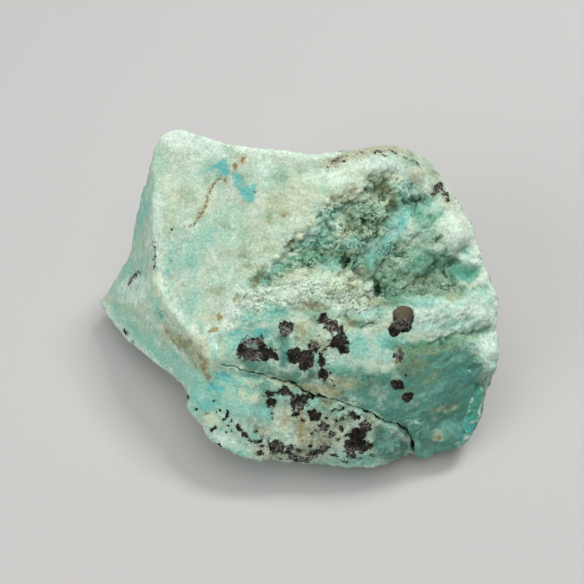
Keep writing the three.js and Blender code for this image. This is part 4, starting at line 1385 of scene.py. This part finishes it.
class StoneLayers(Bench):
    """Lays the stone's material down, one colour over another."""

    def __init__(self, tree: Tree, effects: Effects, finish: "StoneFinish") -> None:
        """Begin with what many layers read.

        Args:
            tree: The material's tree.
            effects: The shared node groups.
            finish: The colours and their shares.
        """
        super().__init__(tree)
        self.effects = effects
        self.finish = finish
        mapping = self.node("Mapping")
        mapping.inputs["Scale"].default_value = (1 / MM,) * 3
        self.feed(mapping.inputs["Vector"], self.node("TexCoord").outputs["Object"])
        self.place = mapping.outputs[0]
        self.colour = finish.pale
        self.relief = self.attribute("relief")
        self.rough = self.attribute("rough")
        # Where the relief is low: the finish lays painted shade and the pockets' dark green here.
        self.hollows = self.fall(self.relief, -0.58, -0.06)
        self.fine = self.mottle(2.0, 0.32, 0.68, 5.0)
        self.crumbs = self.times(self.mottle(3.0, 0.60, 0.67, 4.0), 0.50)

    def lay(self, share: Socket, over: object, most: float = 1.0) -> None:
        """Lay a colour over what is there.

        Args:
            share: The share that it covers at each place.
            over: The colour.
            most: What the share is multiplied by.
        """
        if most != 1.0:
            share = self.times(share, most)
        self.colour = self.blend(share, self.colour, over)

    def mottle(self, scale: float, low: float, high: float, detail: float = 4.0) -> Socket:
        """Place cloudy patches.

        Args:
            scale: How many go to a mm.
            low: Where a patch begins.
            high: Where it is full.
            detail: How many finer layers it has.

        Returns:
            Their mask.
        """
        made = self.fed("Group", {"node_tree": self.effects.mottle}, Vector=self.place,
                        Scale=scale, Detail=detail, Low=low, High=high)
        return made.outputs["Value"]

    def ragged(self, reach: Socket, rag: float, scale: float, edge: float) -> Socket:
        """Turn a distance, which is under 0 inside a patch, into a mask with a ragged edge."""
        made = self.fed("Group", {"node_tree": self.effects.ragged}, Vector=self.place,
                        Field=reach, Rag=rag, Scale=scale, Edge=edge)
        return made.outputs["Mask"]

    def lay_patches(self, covers: Sequence[Cover]) -> None:
        """Lay tints in ragged patches.

        Args:
            covers: The tints, in the order that they are laid.
        """
        look = self.finish
        for cover in covers:
            wash = self.attribute(cover.tint.value)
            reach = self.math("SUBTRACT", 0.5, wash)
            mask = self.ragged(reach, 1.5, cover.scale, cover.edge)
            share = self.times(mask, self.span(wash, 0.02, 0.30, 0.0, cover.most))
            self.lay(share, getattr(look, cover.tint.value))

    def lay_tints(self) -> None:
        """Lay the base and the tints, then the dark hollows, which are partly the pockets' own dark green
        and partly painted shade, and the pale tops, which are partly pale crystal tips and partly painted
        light.
        """
        look = self.finish
        self.lay(self.mottle(0.16, 0.42, 0.60, 6.0), look.mint)
        self.lay(self.mottle(0.33, 0.50, 0.62, 6.0), look.chalk, most=0.50)
        self.lay(self.mottle(0.27, 0.53, 0.66, 8.0), look.moss, most=0.55)
        self.lay_patches(UNDER_FROST)
        # Dark colour in the low places: partly the pockets' own dark green, partly painted shade.
        green = self.attribute(Tint.GREEN.value)
        dark = self.math("ADD", green, self.times(self.rough, 0.12))
        dark = self.times(dark, self.hollows, clamp=True)
        self.lay(dark, look.hollow, most=0.86)
        pits = self.times(self.mottle(0.80, 0.61, 0.65, 6.0), self.rough)
        self.lay(pits, look.hollow, most=0.72)
        # Pale colour on the grain's high places: partly pale crystal tips, partly painted light on the
        # tops.
        tops = self.times(self.span(self.relief, 0.0, 0.45), look.frost_and_top_light_most)
        kept = self.math("MULTIPLY_ADD", green, -0.30, 1.0)
        self.lay(self.times(self.times(self.rough, tops), kept, clamp=True), look.frost_and_top_light)
        self.lay_patches(OVER_FROST)

    def lay_bands(self) -> None:
        """Lay the slanting bands, the white grains and the dust."""
        look = self.finish
        streaky = self.attribute("streaky")
        bands = self.fed("Group", {"node_tree": self.effects.streaks}, Vector=self.place)
        teal = self.attribute(Tint.TEAL.value)
        plain = self.math("MULTIPLY_ADD", teal, -0.9, 1.0)
        pale = self.times(self.times(streaky, 0.55), plain)
        self.lay(self.times(bands.outputs["Pale"], pale), look.white)
        dark = self.times(streaky, 0.60)
        self.lay(self.times(bands.outputs["Dark"], dark), look.green)
        salt = self.times(plain, 0.20)
        self.lay(self.times(self.mottle(3.1, 0.52, 0.66, 2.0), salt), look.white)
        self.lay(self.mottle(1.1, 0.54, 0.64, 8.0), look.moss, most=0.22)
        self.lay(self.mottle(2.2, 0.635, 0.69, 3.0), look.umber, most=0.40)

    def shade(self) -> None:
        """Make the colour lighter and darker in fine clouds, and darker in the hollows as painted shade."""
        light = self.math("MULTIPLY_ADD", self.fine, 0.28, 0.87)
        # Painted shade: up to 16 percent darker where the relief is low.
        shade = self.math("MULTIPLY_ADD", self.hollows, -0.16, 1.0)
        scaled = self.node("VectorMath", operation="SCALE")
        self.feed(scaled.inputs[0], self.colour)
        self.feed(scaled.inputs["Scale"], self.times(light, shade))
        self.colour = scaled.outputs[0]

    def lay_marks(self) -> None:
        """Lay the vein, the mineral spots and the crack."""
        look = self.finish
        vein = self.ragged(self.attribute("vein"), rag=6.0, scale=2.2, edge=0.6)
        ochre = self.blend(self.mottle(2.4, 0.46, 0.60), look.umber, look.rust)
        self.lay(vein, ochre, most=0.85)
        reach = self.attribute("spot")
        spot = self.ragged(reach, rag=7.0, scale=1.1, edge=0.9)
        flecks = self.times(self.fall(reach, 1.0, 6.0), self.mottle(2.3, 0.60, 0.64, 3.0))
        cover = self.math("MAXIMUM", spot, self.times(flecks, 0.75))
        gaps = self.times(self.attribute("mottled"), self.mottle(2.2, 0.44, 0.60, 8.0))
        gaps = self.math("MAXIMUM", self.crumbs, self.times(gaps, 0.70))
        cap = self.times(self.attribute("brown_cap"), 0.9)
        dye = self.blend(self.mottle(0.8, 0.42, 0.62, 6.0), look.black, look.brown)
        dye = self.blend(cap, dye, look.cap)
        self.lay(cover, self.blend(gaps, dye, look.lilac))
        crack = self.fall(self.attribute("crack"), -0.4, 0.6)
        self.lay(crack, look.black, most=0.93)

    def dullness(self) -> Socket:
        """Work out the roughness, which is lower on the waxy teal and on the spots' crumbs."""
        look = self.finish
        waxy = self.times(self.attribute(Tint.TEAL.value), 0.16)
        least = look.roughness - 0.07
        dull = self.math("MULTIPLY_ADD", self.fine, 0.14, least)
        dull = self.math("SUBTRACT", dull, waxy)
        return self.math("SUBTRACT", dull, self.times(self.crumbs, 0.4), clamp=True)

    def bumps(self) -> Socket:
        """Raise the finest grain, and give the normal that it makes."""
        look = self.finish
        sugar = self.fed("Group", {"node_tree": self.effects.sugar}, Vector=self.place, Scale=2.6)
        grain = self.times(sugar.outputs["Tone"], 0.25)
        height = self.math("ADD", self.times(self.mottle(2.2, 0.2, 0.8, 6.0), 0.9), grain)
        depth = self.math("MULTIPLY_ADD", self.rough, 0.5, 0.05)
        height = self.math("SUBTRACT", height, self.times(sugar.outputs["Gap"], depth))
        bump = self.node("Bump")
        bump.inputs["Strength"].default_value = 0.6
        bump.inputs["Distance"].default_value = look.bump_mm * MM
        self.feed(bump.inputs["Height"], height)
        return bump.outputs["Normal"]


@dataclass(frozen=True)
class StoneFinish:
    """The stone's colours, as plain linear red, green and blue, and its gloss.

    A colour with a tint's name is that tint's. hollow, the dark colour of the low places, is partly the
    pockets' own dark green and partly painted shade; the pale colour laid on the grain's tops is partly
    pale crystal tips and partly painted light.
    """

    name: str = "chrysocolla_stone"
    pale: Colour = (0.495, 0.615, 0.485)
    mint: Colour = (0.38, 0.60, 0.46)
    chalk: Colour = (0.74, 0.80, 0.69)
    moss: Colour = (0.28, 0.36, 0.22)
    aqua: Colour = (0.23, 0.54, 0.44)
    turquoise: Colour = (0.08, 0.46, 0.43)
    emerald: Colour = (0.060, 0.34, 0.235)
    teal: Colour = (0.052, 0.205, 0.165)
    white: Colour = (0.74, 0.88, 0.76)
    cream: Colour = (0.72, 0.74, 0.48)
    # Dark green of the low places, partly painted shade.
    hollow: Colour = (0.030, 0.105, 0.050)
    green: Colour = (0.095, 0.235, 0.130)
    sky: Colour = (0.27, 0.62, 0.54)
    # Pale colour on the grain's tops: partly pale crystal tips, partly painted light.
    frost_and_top_light: Colour = (0.56, 0.78, 0.58)
    fern: Colour = (0.27, 0.47, 0.32)
    tan: Colour = (0.45, 0.44, 0.28)
    olive: Colour = (0.25, 0.25, 0.08)
    rust: Colour = (0.33, 0.225, 0.060)
    umber: Colour = (0.11, 0.085, 0.042)
    black: Colour = (0.005, 0.005, 0.004)
    brown: Colour = (0.040, 0.031, 0.022)
    cap: Colour = (0.125, 0.100, 0.062)
    lilac: Colour = (0.34, 0.34, 0.31)
    roughness: float = 0.64
    shine: float = 0.12
    frost_and_top_light_most: float = 0.56
    bump_mm: float = 0.15

    def build(self, effects: Effects) -> bpy.types.Material:
        """Make the stone's material.

        Args:
            effects: The shared node groups.

        Returns:
            The material.
        """
        material = bpy.data.materials.new(self.name)
        material.use_nodes = True
        shader = material.node_tree.nodes["Principled BSDF"]
        shader.inputs["Specular IOR Level"].default_value = self.shine
        layers = StoneLayers(material.node_tree, effects, self)
        layers.lay_tints()
        layers.lay_bands()
        layers.shade()
        layers.lay_marks()
        layers.feed(shader.inputs["Base Color"], layers.colour)
        layers.feed(shader.inputs["Roughness"], layers.dullness())
        layers.feed(shader.inputs["Normal"], layers.bumps())
        return material


# ---------------------------------------------------------------- sub-assemblies


def make_piece(name: str, points: Rows, faces: Rows, values: dict[str, Rows]) -> Thing:
    """Make a mesh object from a skin.

    Args:
        name: The piece's name.
        points: Its points, in mm.
        faces: Its triangles.
        values: Each attribute's name and its value at each point.

    Returns:
        The object, in metres.
    """
    mesh = bpy.data.meshes.new(name)
    mesh.vertices.add(len(points))
    mesh.vertices.foreach_set("co", (points * MM).astype(np.float32).ravel())
    mesh.loops.add(faces.size)
    mesh.loops.foreach_set("vertex_index", faces.astype(np.int32).ravel())
    mesh.polygons.add(len(faces))
    mesh.polygons.foreach_set("loop_start", np.arange(0, faces.size, 3, dtype=np.int32))
    mesh.update(calc_edges=True)
    mesh.validate()
    for label, value in values.items():
        layer = mesh.attributes.new(label, "FLOAT", "POINT")
        layer.data.foreach_set("value", value.astype(np.float32))
    thing = bpy.data.objects.new(name, mesh)
    bpy.context.scene.collection.objects.link(thing)
    return thing


@dataclass(frozen=True)
class Shake:
    """How far marks are shaken, in picture points, and how large the shake's turns are, in mm."""

    amount: float
    size: float
    seed: Seed


@dataclass
class Stone:
    """The lump itself.

    Edges are in mm. A name that ends in span is what ease rises over: picture points from a
    mark's edge, mm above the floor, or how far a normal points up.
    """

    viewpoint: Viewpoint
    relief: Relief
    first_edge: float = 1.3
    crack_edge: float = 0.20
    sole_edge: float = 2.0
    spare: float = 5.0
    seen_span: Span = (-0.05, 0.14)
    well_seen_span: Span = (0.3, 0.8)
    crack_span: Span = (6.0, 2.5)
    flat_span: Span = (0.25, 0.05)
    under_span: Span = (-0.8, -0.97)
    step_span: Span = (13.0, 1.0)
    step_pull: float = 0.5
    step_passes: int = 110
    ground_shake: Shake = Shake(9.0, 4.0, Seed.GROUND_SHAKE)
    form_shake: Shake = Shake(1.0, 1.4, Seed.FORM_SHAKE)
    tint_shake: Shake = Shake(2.6, 2.0, Seed.TINT_SHAKE)
    pocket_span: Span = (3.5, -3.5)
    least_pits: float = 0.35
    calm_span: Span = (1.2, 0.2)
    calm_under_span: Span = (-0.5, -0.9)
    full_rough: float = 0.4
    full_streaks: float = 0.36
    bed_span: Span = (4.0, -4.0)
    mottled_span: Span = (2.5, -2.5)
    cap_span: Span = (2.0, -2.0)
    far_crack: float = 9.0
    far_spot: float = 12.0
    dot_sharpness: float = 2.4
    faint_vein: float = 0.8
    marks_seen: float = 0.4
    hidden_mottle: float = 0.5
    hidden_tint_size: float = 11.0
    hidden_tint_span: Span = (0.05, 0.45)
    hidden_cells: tuple[Point, ...] = ((9.0, 3.7), (5.0, 11.2))
    hidden_dice: float = 53.0
    hidden_chance: float = 0.42
    hidden_least: float = 0.06
    hidden_more: float = 0.10
    points_to_mm: float = 4.7
    skin: Skin | None = None
    values: dict[str, Rows] = field(default_factory=dict)

    def look(self, normals: Rows) -> Sight:
        """Find where the skin's points are seen.

        Args:
            normals: Their outward ways.

        Returns:
            Their places in the picture, and how much each is on the seen side.
        """
        x, y = self.viewpoint.picture(self.skin.points)
        facing = self.viewpoint.facing(self.skin.points, normals)
        return Sight(x, y, ease(*self.seen_span, facing))

    def shares(self, sight: Sight, spare: float = 0.0) -> dict[str, Rows]:
        """Share each point out among the grounds.

        Args:
            sight: Where the points are seen.
            spare: How far past its outline a ground reaches, in picture points.

        Returns:
            Each ground's share by name. The shares of a point come to 1.
        """
        plain, *grounds = GROUNDS
        hidden = 1.0 - sight.seen
        shares = {HIDDEN_GROUND.name: hidden, plain.name: sight.seen.copy()}
        for ground in grounds:
            reach = ground.patch.reach(sight.x, sight.y) - spare
            own = sight.seen * ease(ground.soft, -ground.soft, reach)
            for name in shares:
                shares[name] = shares[name] * (1.0 - own / np.maximum(sight.seen, 1e-6))
            shares[HIDDEN_GROUND.name] = hidden
            shares[ground.name] = own
        return shares

    def limits(self) -> Rows:
        """Work out the longest edge that each point allows, in mm."""
        normals = self.skin.normals()
        sight = self.look(normals)
        shares = self.shares(sight, self.spare)
        limit = sum(shares[g.name] * g.edge for g in ALL_GROUNDS)
        close = sight.reach((*CRACK, *CRACK_HOLES, *DEEP_PITS, *FORMS["chips"].marks))
        near = ease(*self.crack_span, close) * ease(*self.well_seen_span, sight.seen)
        limit = limit + (self.crack_edge - limit) * near
        flat = ease(*self.flat_span, self.skin.points[:, 2])
        sole = flat * ease(*self.under_span, normals[:, 2])
        return limit + (self.sole_edge - limit) * sole

    def refine(self) -> None:
        """Split the skin to its grounds' edges, and round the facets away."""
        for _ in range(2):
            self.skin.split(np.full(len(self.skin.points), self.first_edge))
        self.skin.ease(3)
        for _ in range(5):
            if not self.skin.split(self.limits()):
                break
            self.skin.ease(1)
        self.skin.ease(2)
        sight = self.look(self.skin.normals())
        pull = self.step_pull * ease(*self.step_span, STEP.reach(sight.x, sight.y))
        self.skin.settle(self.step_passes, pull * sight.seen)

    def shaken(self, sight: Sight, shake: Shake) -> Sight:
        """Shake picture places a little, so that soft marks get natural edges.

        Args:
            sight: Where the points are seen.
            shake: How far and how finely.

        Returns:
            The shaken places.
        """
        dx = self.relief.cloud(self.skin.points, shake.size, 3, shake.seed)
        dy = self.relief.cloud(self.skin.points, shake.size, 3, shake.seed + 1)
        return Sight(sight.x + dx * shake.amount, sight.y + dy * shake.amount, sight.seen)

    def raise_relief(self) -> None:
        """Raise the grain, cut the crack and pits, and keep what the finish reads."""
        skin = self.skin
        normals = skin.normals()
        sight = self.look(normals)
        shares = self.shares(self.shaken(sight, self.ground_shake))
        loose = self.shaken(sight, self.form_shake)
        kinds = self.relief.kinds(skin.points)
        twice = Sight(loose.x * 2 - sight.x, loose.y * 2 - sight.y, sight.seen)
        pockets = ease(*self.pocket_span, twice.reach(POCKETS))
        kinds["pits"] *= np.where(sight.seen > 0, self.least_pits + pockets, 1.0)
        height = np.zeros(len(skin.points))
        grain = np.zeros(len(skin.points))
        for kind in RELIEF_KINDS:
            amount = sum(shares[g.name] * getattr(g, kind) for g in ALL_GROUNDS)
            height += amount * kinds[kind]
            if kind != "swell":
                grain += amount * kinds[kind]
        crack = self.add_forms(height, sight, loose)
        calm = ease(*self.calm_span, skin.points[:, 2])
        height *= 1.0 - calm * ease(*self.calm_under_span, normals[:, 2])
        skin.points += normals * height[:, None]
        skin.points[:, 2] = np.maximum(skin.points[:, 2], 0.0)
        rough = sum(shares[g.name] * (g.blocks + g.sugar) for g in ALL_GROUNDS)
        streaky = sum(shares[g.name] * g.streaks for g in ALL_GROUNDS)
        self.values.update({
            "relief": grain,
            "rough": np.clip(rough / self.full_rough, 0.0, 1.0),
            "streaky": np.clip(streaky / self.full_streaks, 0.0, 1.0),
            "crystals": sight.seen * ease(*self.bed_span, sight.reach(CRYSTAL_BEDS)),
            "crack": crack,
        })
        loose = self.shaken(sight, self.tint_shake)
        self.place_tints(loose)
        self.place_spots(sight, loose)

    def add_forms(self, height: Rows, sight: Sight, loose: Sight) -> Rows:
        """Add the ridges and cuts to the height.

        Args:
            height: The height so far, in mm, to which the forms are added.
            sight: Where the points are seen.
            loose: The same, shaken.

        Returns:
            Picture points from the nearest dark form's edge, under 0 inside it.
        """
        lit = ease(*self.well_seen_span, sight.seen)
        dark = np.full(len(height), self.far_crack)
        for form in FORMS.values():
            x = sight.x + (loose.x - sight.x) * form.wander
            y = sight.y + (loose.y - sight.y) * form.wander
            reach = Sight(x, y, sight.seen).reach(form.marks)
            height += lit * form.rise * ease(form.far, form.near, reach)
            if form.dark:
                dark = np.minimum(dark, np.where(lit > 0.5, reach, self.far_crack))
        return dark

    def hidden_spots(self) -> Rows:
        """Scatter dark spots over the sides that the viewpoint doesn't see.

        Returns:
            Picture points from the nearest spot's edge, under 0 inside it.
        """
        away = np.full(len(self.skin.points), self.far_spot)
        for cell, shift in self.hidden_cells:
            for i, point in enumerate(self.skin.points):
                place = Vector(point) / cell + Vector((shift, -shift, shift))
                reach, seeds = noise.voronoi(place)
                chance = noise.cell_vector(seeds[0] * self.hidden_dice)
                if chance.x < self.hidden_chance:
                    size = cell * (self.hidden_least + self.hidden_more * chance.y)
                    away[i] = min(away[i], (reach[0] * cell - size) * self.points_to_mm)
        return away

    def place_tints(self, loose: Sight) -> None:
        """Work out how much of each tint lies at each point.

        Args:
            loose: Where the points are seen, shaken.
        """
        for number, tint in enumerate(Tint):
            share = np.zeros(len(loose.seen))
            for wash in WASHES:
                if wash.tint is tint:
                    near = ease(wash.soft, -wash.soft, loose.reach(wash.marks))
                    share = np.maximum(share, wash.strength * near)
            seed = Seed.HIDDEN_TINTS + number
            cloud = self.relief.cloud(self.skin.points, self.hidden_tint_size, 3, seed)
            hidden = ease(*self.hidden_tint_span, cloud) * HIDDEN_MOST.get(tint, HIDDEN_USUAL)
            self.values[tint.value] = loose.seen * share + (1.0 - loose.seen) * hidden

    def place_spots(self, sight: Sight, loose: Sight) -> None:
        """Work out how far each point is from the spots and from the vein.

        Args:
            sight: Where the points are seen.
            loose: The same, shaken.
        """
        big = (m for name, marks in SPOTS.items() if name not in DOTS for m in marks)
        small = (m for name in DOTS for m in SPOTS[name])
        spot = np.minimum(sight.reach(big), sight.reach(small) * self.dot_sharpness)
        spot = np.maximum(spot, -sight.reach(SPOT_HOLES))
        spot = np.where(sight.seen > self.marks_seen, spot, self.hidden_spots())
        mottled = sight.seen * ease(*self.mottled_span, loose.reach(MOTTLED_SPOTS))
        vein = np.minimum(sight.reach(BROWN_VEIN), sight.reach((FAINT_VEIN,)) + self.faint_vein)
        vein = np.where(sight.seen > self.marks_seen, vein, self.far_spot)
        self.values.update({
            "spot": np.minimum(spot, self.far_spot),
            "mottled": mottled + (1.0 - sight.seen) * self.hidden_mottle,
            "brown_cap": sight.seen * ease(*self.cap_span, sight.reach((BROWN_CAP,))),
            "vein": np.minimum(vein, self.far_spot),
        })

    def build(self) -> Thing:
        """Build the lump.

        Returns:
            The lump's object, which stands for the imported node.
        """
        self.skin = Skin.of_node(NODE)
        self.refine()
        self.raise_relief()
        piece = make_piece("chrysocolla_lump", self.skin.points, self.skin.faces, self.values)
        piece.data.shade_smooth()
        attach(piece, BODY)
        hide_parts(NODE)
        return piece

    def dress(self, piece: Thing, effects: Effects) -> None:
        """Give the lump its finish."""
        piece.data.materials.append(StoneFinish().build(effects))


@dataclass
class CrystalCrust:
    """The small crystals that stand on the rough grounds, half sunk in the stone.

    Sizes are radii in mm.
    """

    stone: Stone
    seed: int = 7
    forms: int = 10
    corners: int = 9
    stretch: Place = (1.15, 0.85, 1.0)
    count: int = 3600
    small: float = 0.14
    large: float = 0.46
    rarity_of_large: float = 2.2
    sunk: float = 0.25
    cloud_size: float = 3.0
    cloud_span: Span = (-0.25, 0.2)
    least_crowding: float = 0.25
    air_span: Span = (-0.55, -0.15)
    clear_of_crack: float = 1.5
    ground_tone: float = 0.5
    # How far a crystal's height lightens its tip and darkens its sunk base: painted light and shade.
    painted_height_light: float = 0.9
    tone_spread: float = 0.22
    least_rough: float = 0.9
    green_left: float = 0.45

    def crowding(self) -> Rows:
        """Say how thickly crystals stand at each point of the stone.

        Returns:
            A share for each point, 0 for none.
        """
        stone, values = self.stone, self.stone.values
        cloud = stone.relief.cloud(stone.skin.points, self.cloud_size, 3, Seed.CROWDING)
        patchy = at_least(self.least_crowding, ease(*self.cloud_span, cloud))
        open_air = ease(*self.air_span, values["relief"])
        return values["crystals"] * patchy * open_air * (values["crack"] > self.clear_of_crack)

    def unit_forms(self, dice: np.random.Generator) -> list[tuple[Rows, Rows]]:
        """Make a few irregular crystal bodies with flat faces, about 1 mm in radius.

        Args:
            dice: The source of chance.

        Returns:
            Each body's points and triangles.
        """
        bodies = []
        for _ in range(self.forms):
            mesh = bmesh.new()
            for row in unit(dice.normal(size=(self.corners, 3))) * self.stretch:
                mesh.verts.new(row)
            bmesh.ops.convex_hull(mesh, input=mesh.verts)
            bodies.append(read_mesh(mesh))
        return bodies

    def build(self) -> Thing:
        """Grow the crystals.

        Returns:
            The crust's object, all crystals joined.
        """
        skin, values = self.stone.skin, self.stone.values
        dice = np.random.default_rng(self.seed)
        corners = skin.points[skin.faces]
        across = np.cross(corners[:, 1] - corners[:, 0], corners[:, 2] - corners[:, 0])
        area = np.linalg.norm(across, axis=1)
        weight = area * self.crowding()[skin.faces].mean(axis=1)
        chosen = dice.choice(len(skin.faces), self.count, p=weight / weight.sum())
        shares = dice.dirichlet((1.0, 1.0, 1.0), self.count)
        spots = np.einsum("ij,ijk->ik", shares, corners[chosen])
        outward = unit(np.einsum("ij,ijk->ik", shares, skin.normals()[skin.faces[chosen]]))
        chances = dice.random(self.count) ** self.rarity_of_large
        sizes = self.small + (self.large - self.small) * chances
        turns = np.linalg.qr(dice.normal(size=(self.count, 3, 3)))[0]
        turns *= np.sign(np.linalg.det(turns))[:, None, None]
        bodies = self.unit_forms(dice)
        points, faces, owners, lifts, start = [], [], [], [], 0
        for number in range(self.count):
            body, sides = bodies[number % self.forms]
            own = body @ turns[number].T * sizes[number]
            lifts.append(own @ outward[number])
            points.append(own + spots[number] - outward[number] * sizes[number] * self.sunk)
            faces.append(sides + start)
            owners.append(np.full(len(body), number))
            start += len(body)
        owner = np.concatenate(owners)
        tone = dice.normal(0.0, self.tone_spread, self.count)[owner]
        # Painted light and shade by height: each crystal is lighter towards its tip and darker where it is
        # sunk, through the relief that the finish reads.
        lift = np.concatenate(lifts) * self.painted_height_light
        nearest_corner = skin.faces[chosen, np.argmax(shares, axis=1)][owner]
        given = {label: value[nearest_corner] for label, value in values.items()}
        given["relief"] = given["relief"] * self.ground_tone + lift + tone
        given["rough"] = np.maximum(given["rough"], self.least_rough)
        given[Tint.GREEN.value] = given[Tint.GREEN.value] * self.green_left
        piece = make_piece("crystal_crust", np.vstack(points), np.vstack(faces), given)
        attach(piece, BODY)
        return piece

    def dress(self, piece: Thing, effects: Effects) -> None:
        """Give the crystals their finish, a little brighter and glossier than the stone's."""
        finish = StoneFinish(name="chrysocolla_crystal", frost_and_top_light=(0.60, 0.80, 0.60), roughness=0.42,
                             shine=0.4, frost_and_top_light_most=0.6, bump_mm=0.05)
        piece.data.materials.append(finish.build(effects))


@dataclass(frozen=True)
class Lamp:
    """A square soft lamp: where it is and how wide it is, in metres, and its power in watts."""

    name: str
    place: Place
    side: float
    power: float


@dataclass(frozen=True)
class Studio:
    """The pale floor and the soft lights. Lengths are in metres."""

    floor_side: float = 3.0
    floor_tone: Colour = (0.52, 0.51, 0.50)
    floor_shade: float = 0.97
    floor_roughness: float = 0.9
    floor_clouds: float = 9.0
    sky_tone: Colour = (1.0, 1.0, 1.0)
    sky_power: float = 0.20
    aim: Place = (0.0, 0.0, 0.02)
    lamps: tuple[Lamp, ...] = (
        Lamp("key", (0.28, 0.30, 0.64), 0.18, 2.9),
        Lamp("top", (0.0, -0.05, 0.80), 0.8, 3.6),
        Lamp("front", (-0.58, -0.40, 0.46), 0.45, 2.3),
    )

    def build(self) -> None:
        """Make the floor, the sky and the lamps."""
        self.make_floor()
        world = bpy.data.worlds.new("studio_air")
        world.use_nodes = True
        air = world.node_tree.nodes["Background"]
        air.inputs["Color"].default_value = (*self.sky_tone, 1.0)
        air.inputs["Strength"].default_value = self.sky_power
        bpy.context.scene.world = world
        for lamp in self.lamps:
            self.make_lamp(lamp)
        bpy.context.scene.view_settings.view_transform = "Standard"

    def make_floor(self) -> None:
        """Make the plain pale floor."""
        half = self.floor_side / 2
        mesh = bpy.data.meshes.new("floor")
        corners = ((-half, -half, 0), (half, -half, 0), (half, half, 0), (-half, half, 0))
        mesh.from_pydata(corners, (), ((0, 1, 2, 3),))
        floor = bpy.data.objects.new("floor", mesh)
        bpy.context.scene.collection.objects.link(floor)
        material = bpy.data.materials.new("floor_paper")
        material.use_nodes = True
        bench = Bench(material.node_tree)
        shader = material.node_tree.nodes["Principled BSDF"]
        shader.inputs["Roughness"].default_value = self.floor_roughness
        cloud = bench.node("TexNoise")
        cloud.inputs["Scale"].default_value = self.floor_clouds
        bench.feed(cloud.inputs["Vector"], bench.node("TexCoord").outputs["Object"])
        darker = tuple(tone * self.floor_shade for tone in self.floor_tone)
        tone = bench.blend(cloud.outputs["Fac"], self.floor_tone, darker)
        bench.feed(shader.inputs["Base Color"], tone)
        mesh.materials.append(material)

    def make_lamp(self, lamp: Lamp) -> None:
        """Make a lamp that looks at the stone."""
        light = bpy.data.lights.new(lamp.name, "AREA")
        light.energy = lamp.power
        light.size = lamp.side
        thing = bpy.data.objects.new(lamp.name, light)
        bpy.context.scene.collection.objects.link(thing)
        thing.location = lamp.place
        way = Vector(self.aim) - Vector(lamp.place)
        thing.rotation_euler = way.to_track_quat("-Z", "Y").to_euler()


def main() -> None:
    """Build the stone, its crystals and the studio, and report each piece."""
    logging.basicConfig(level=logging.INFO, format="%(message)s")
    viewpoint = Viewpoint()
    viewpoint.make_camera()
    relief = Relief()
    effects = Effects(relief)
    stone = Stone(viewpoint, relief)
    lump = stone.build()
    stone.dress(lump, effects)
    log.info("%s: %d triangles", lump.name, len(lump.data.polygons))
    crust = CrystalCrust(stone)
    crystals = crust.build()
    crust.dress(crystals, effects)
    log.info("%s: %d triangles", crystals.name, len(crystals.data.polygons))
    Studio().build()


if __name__ == "__main__":
    main()
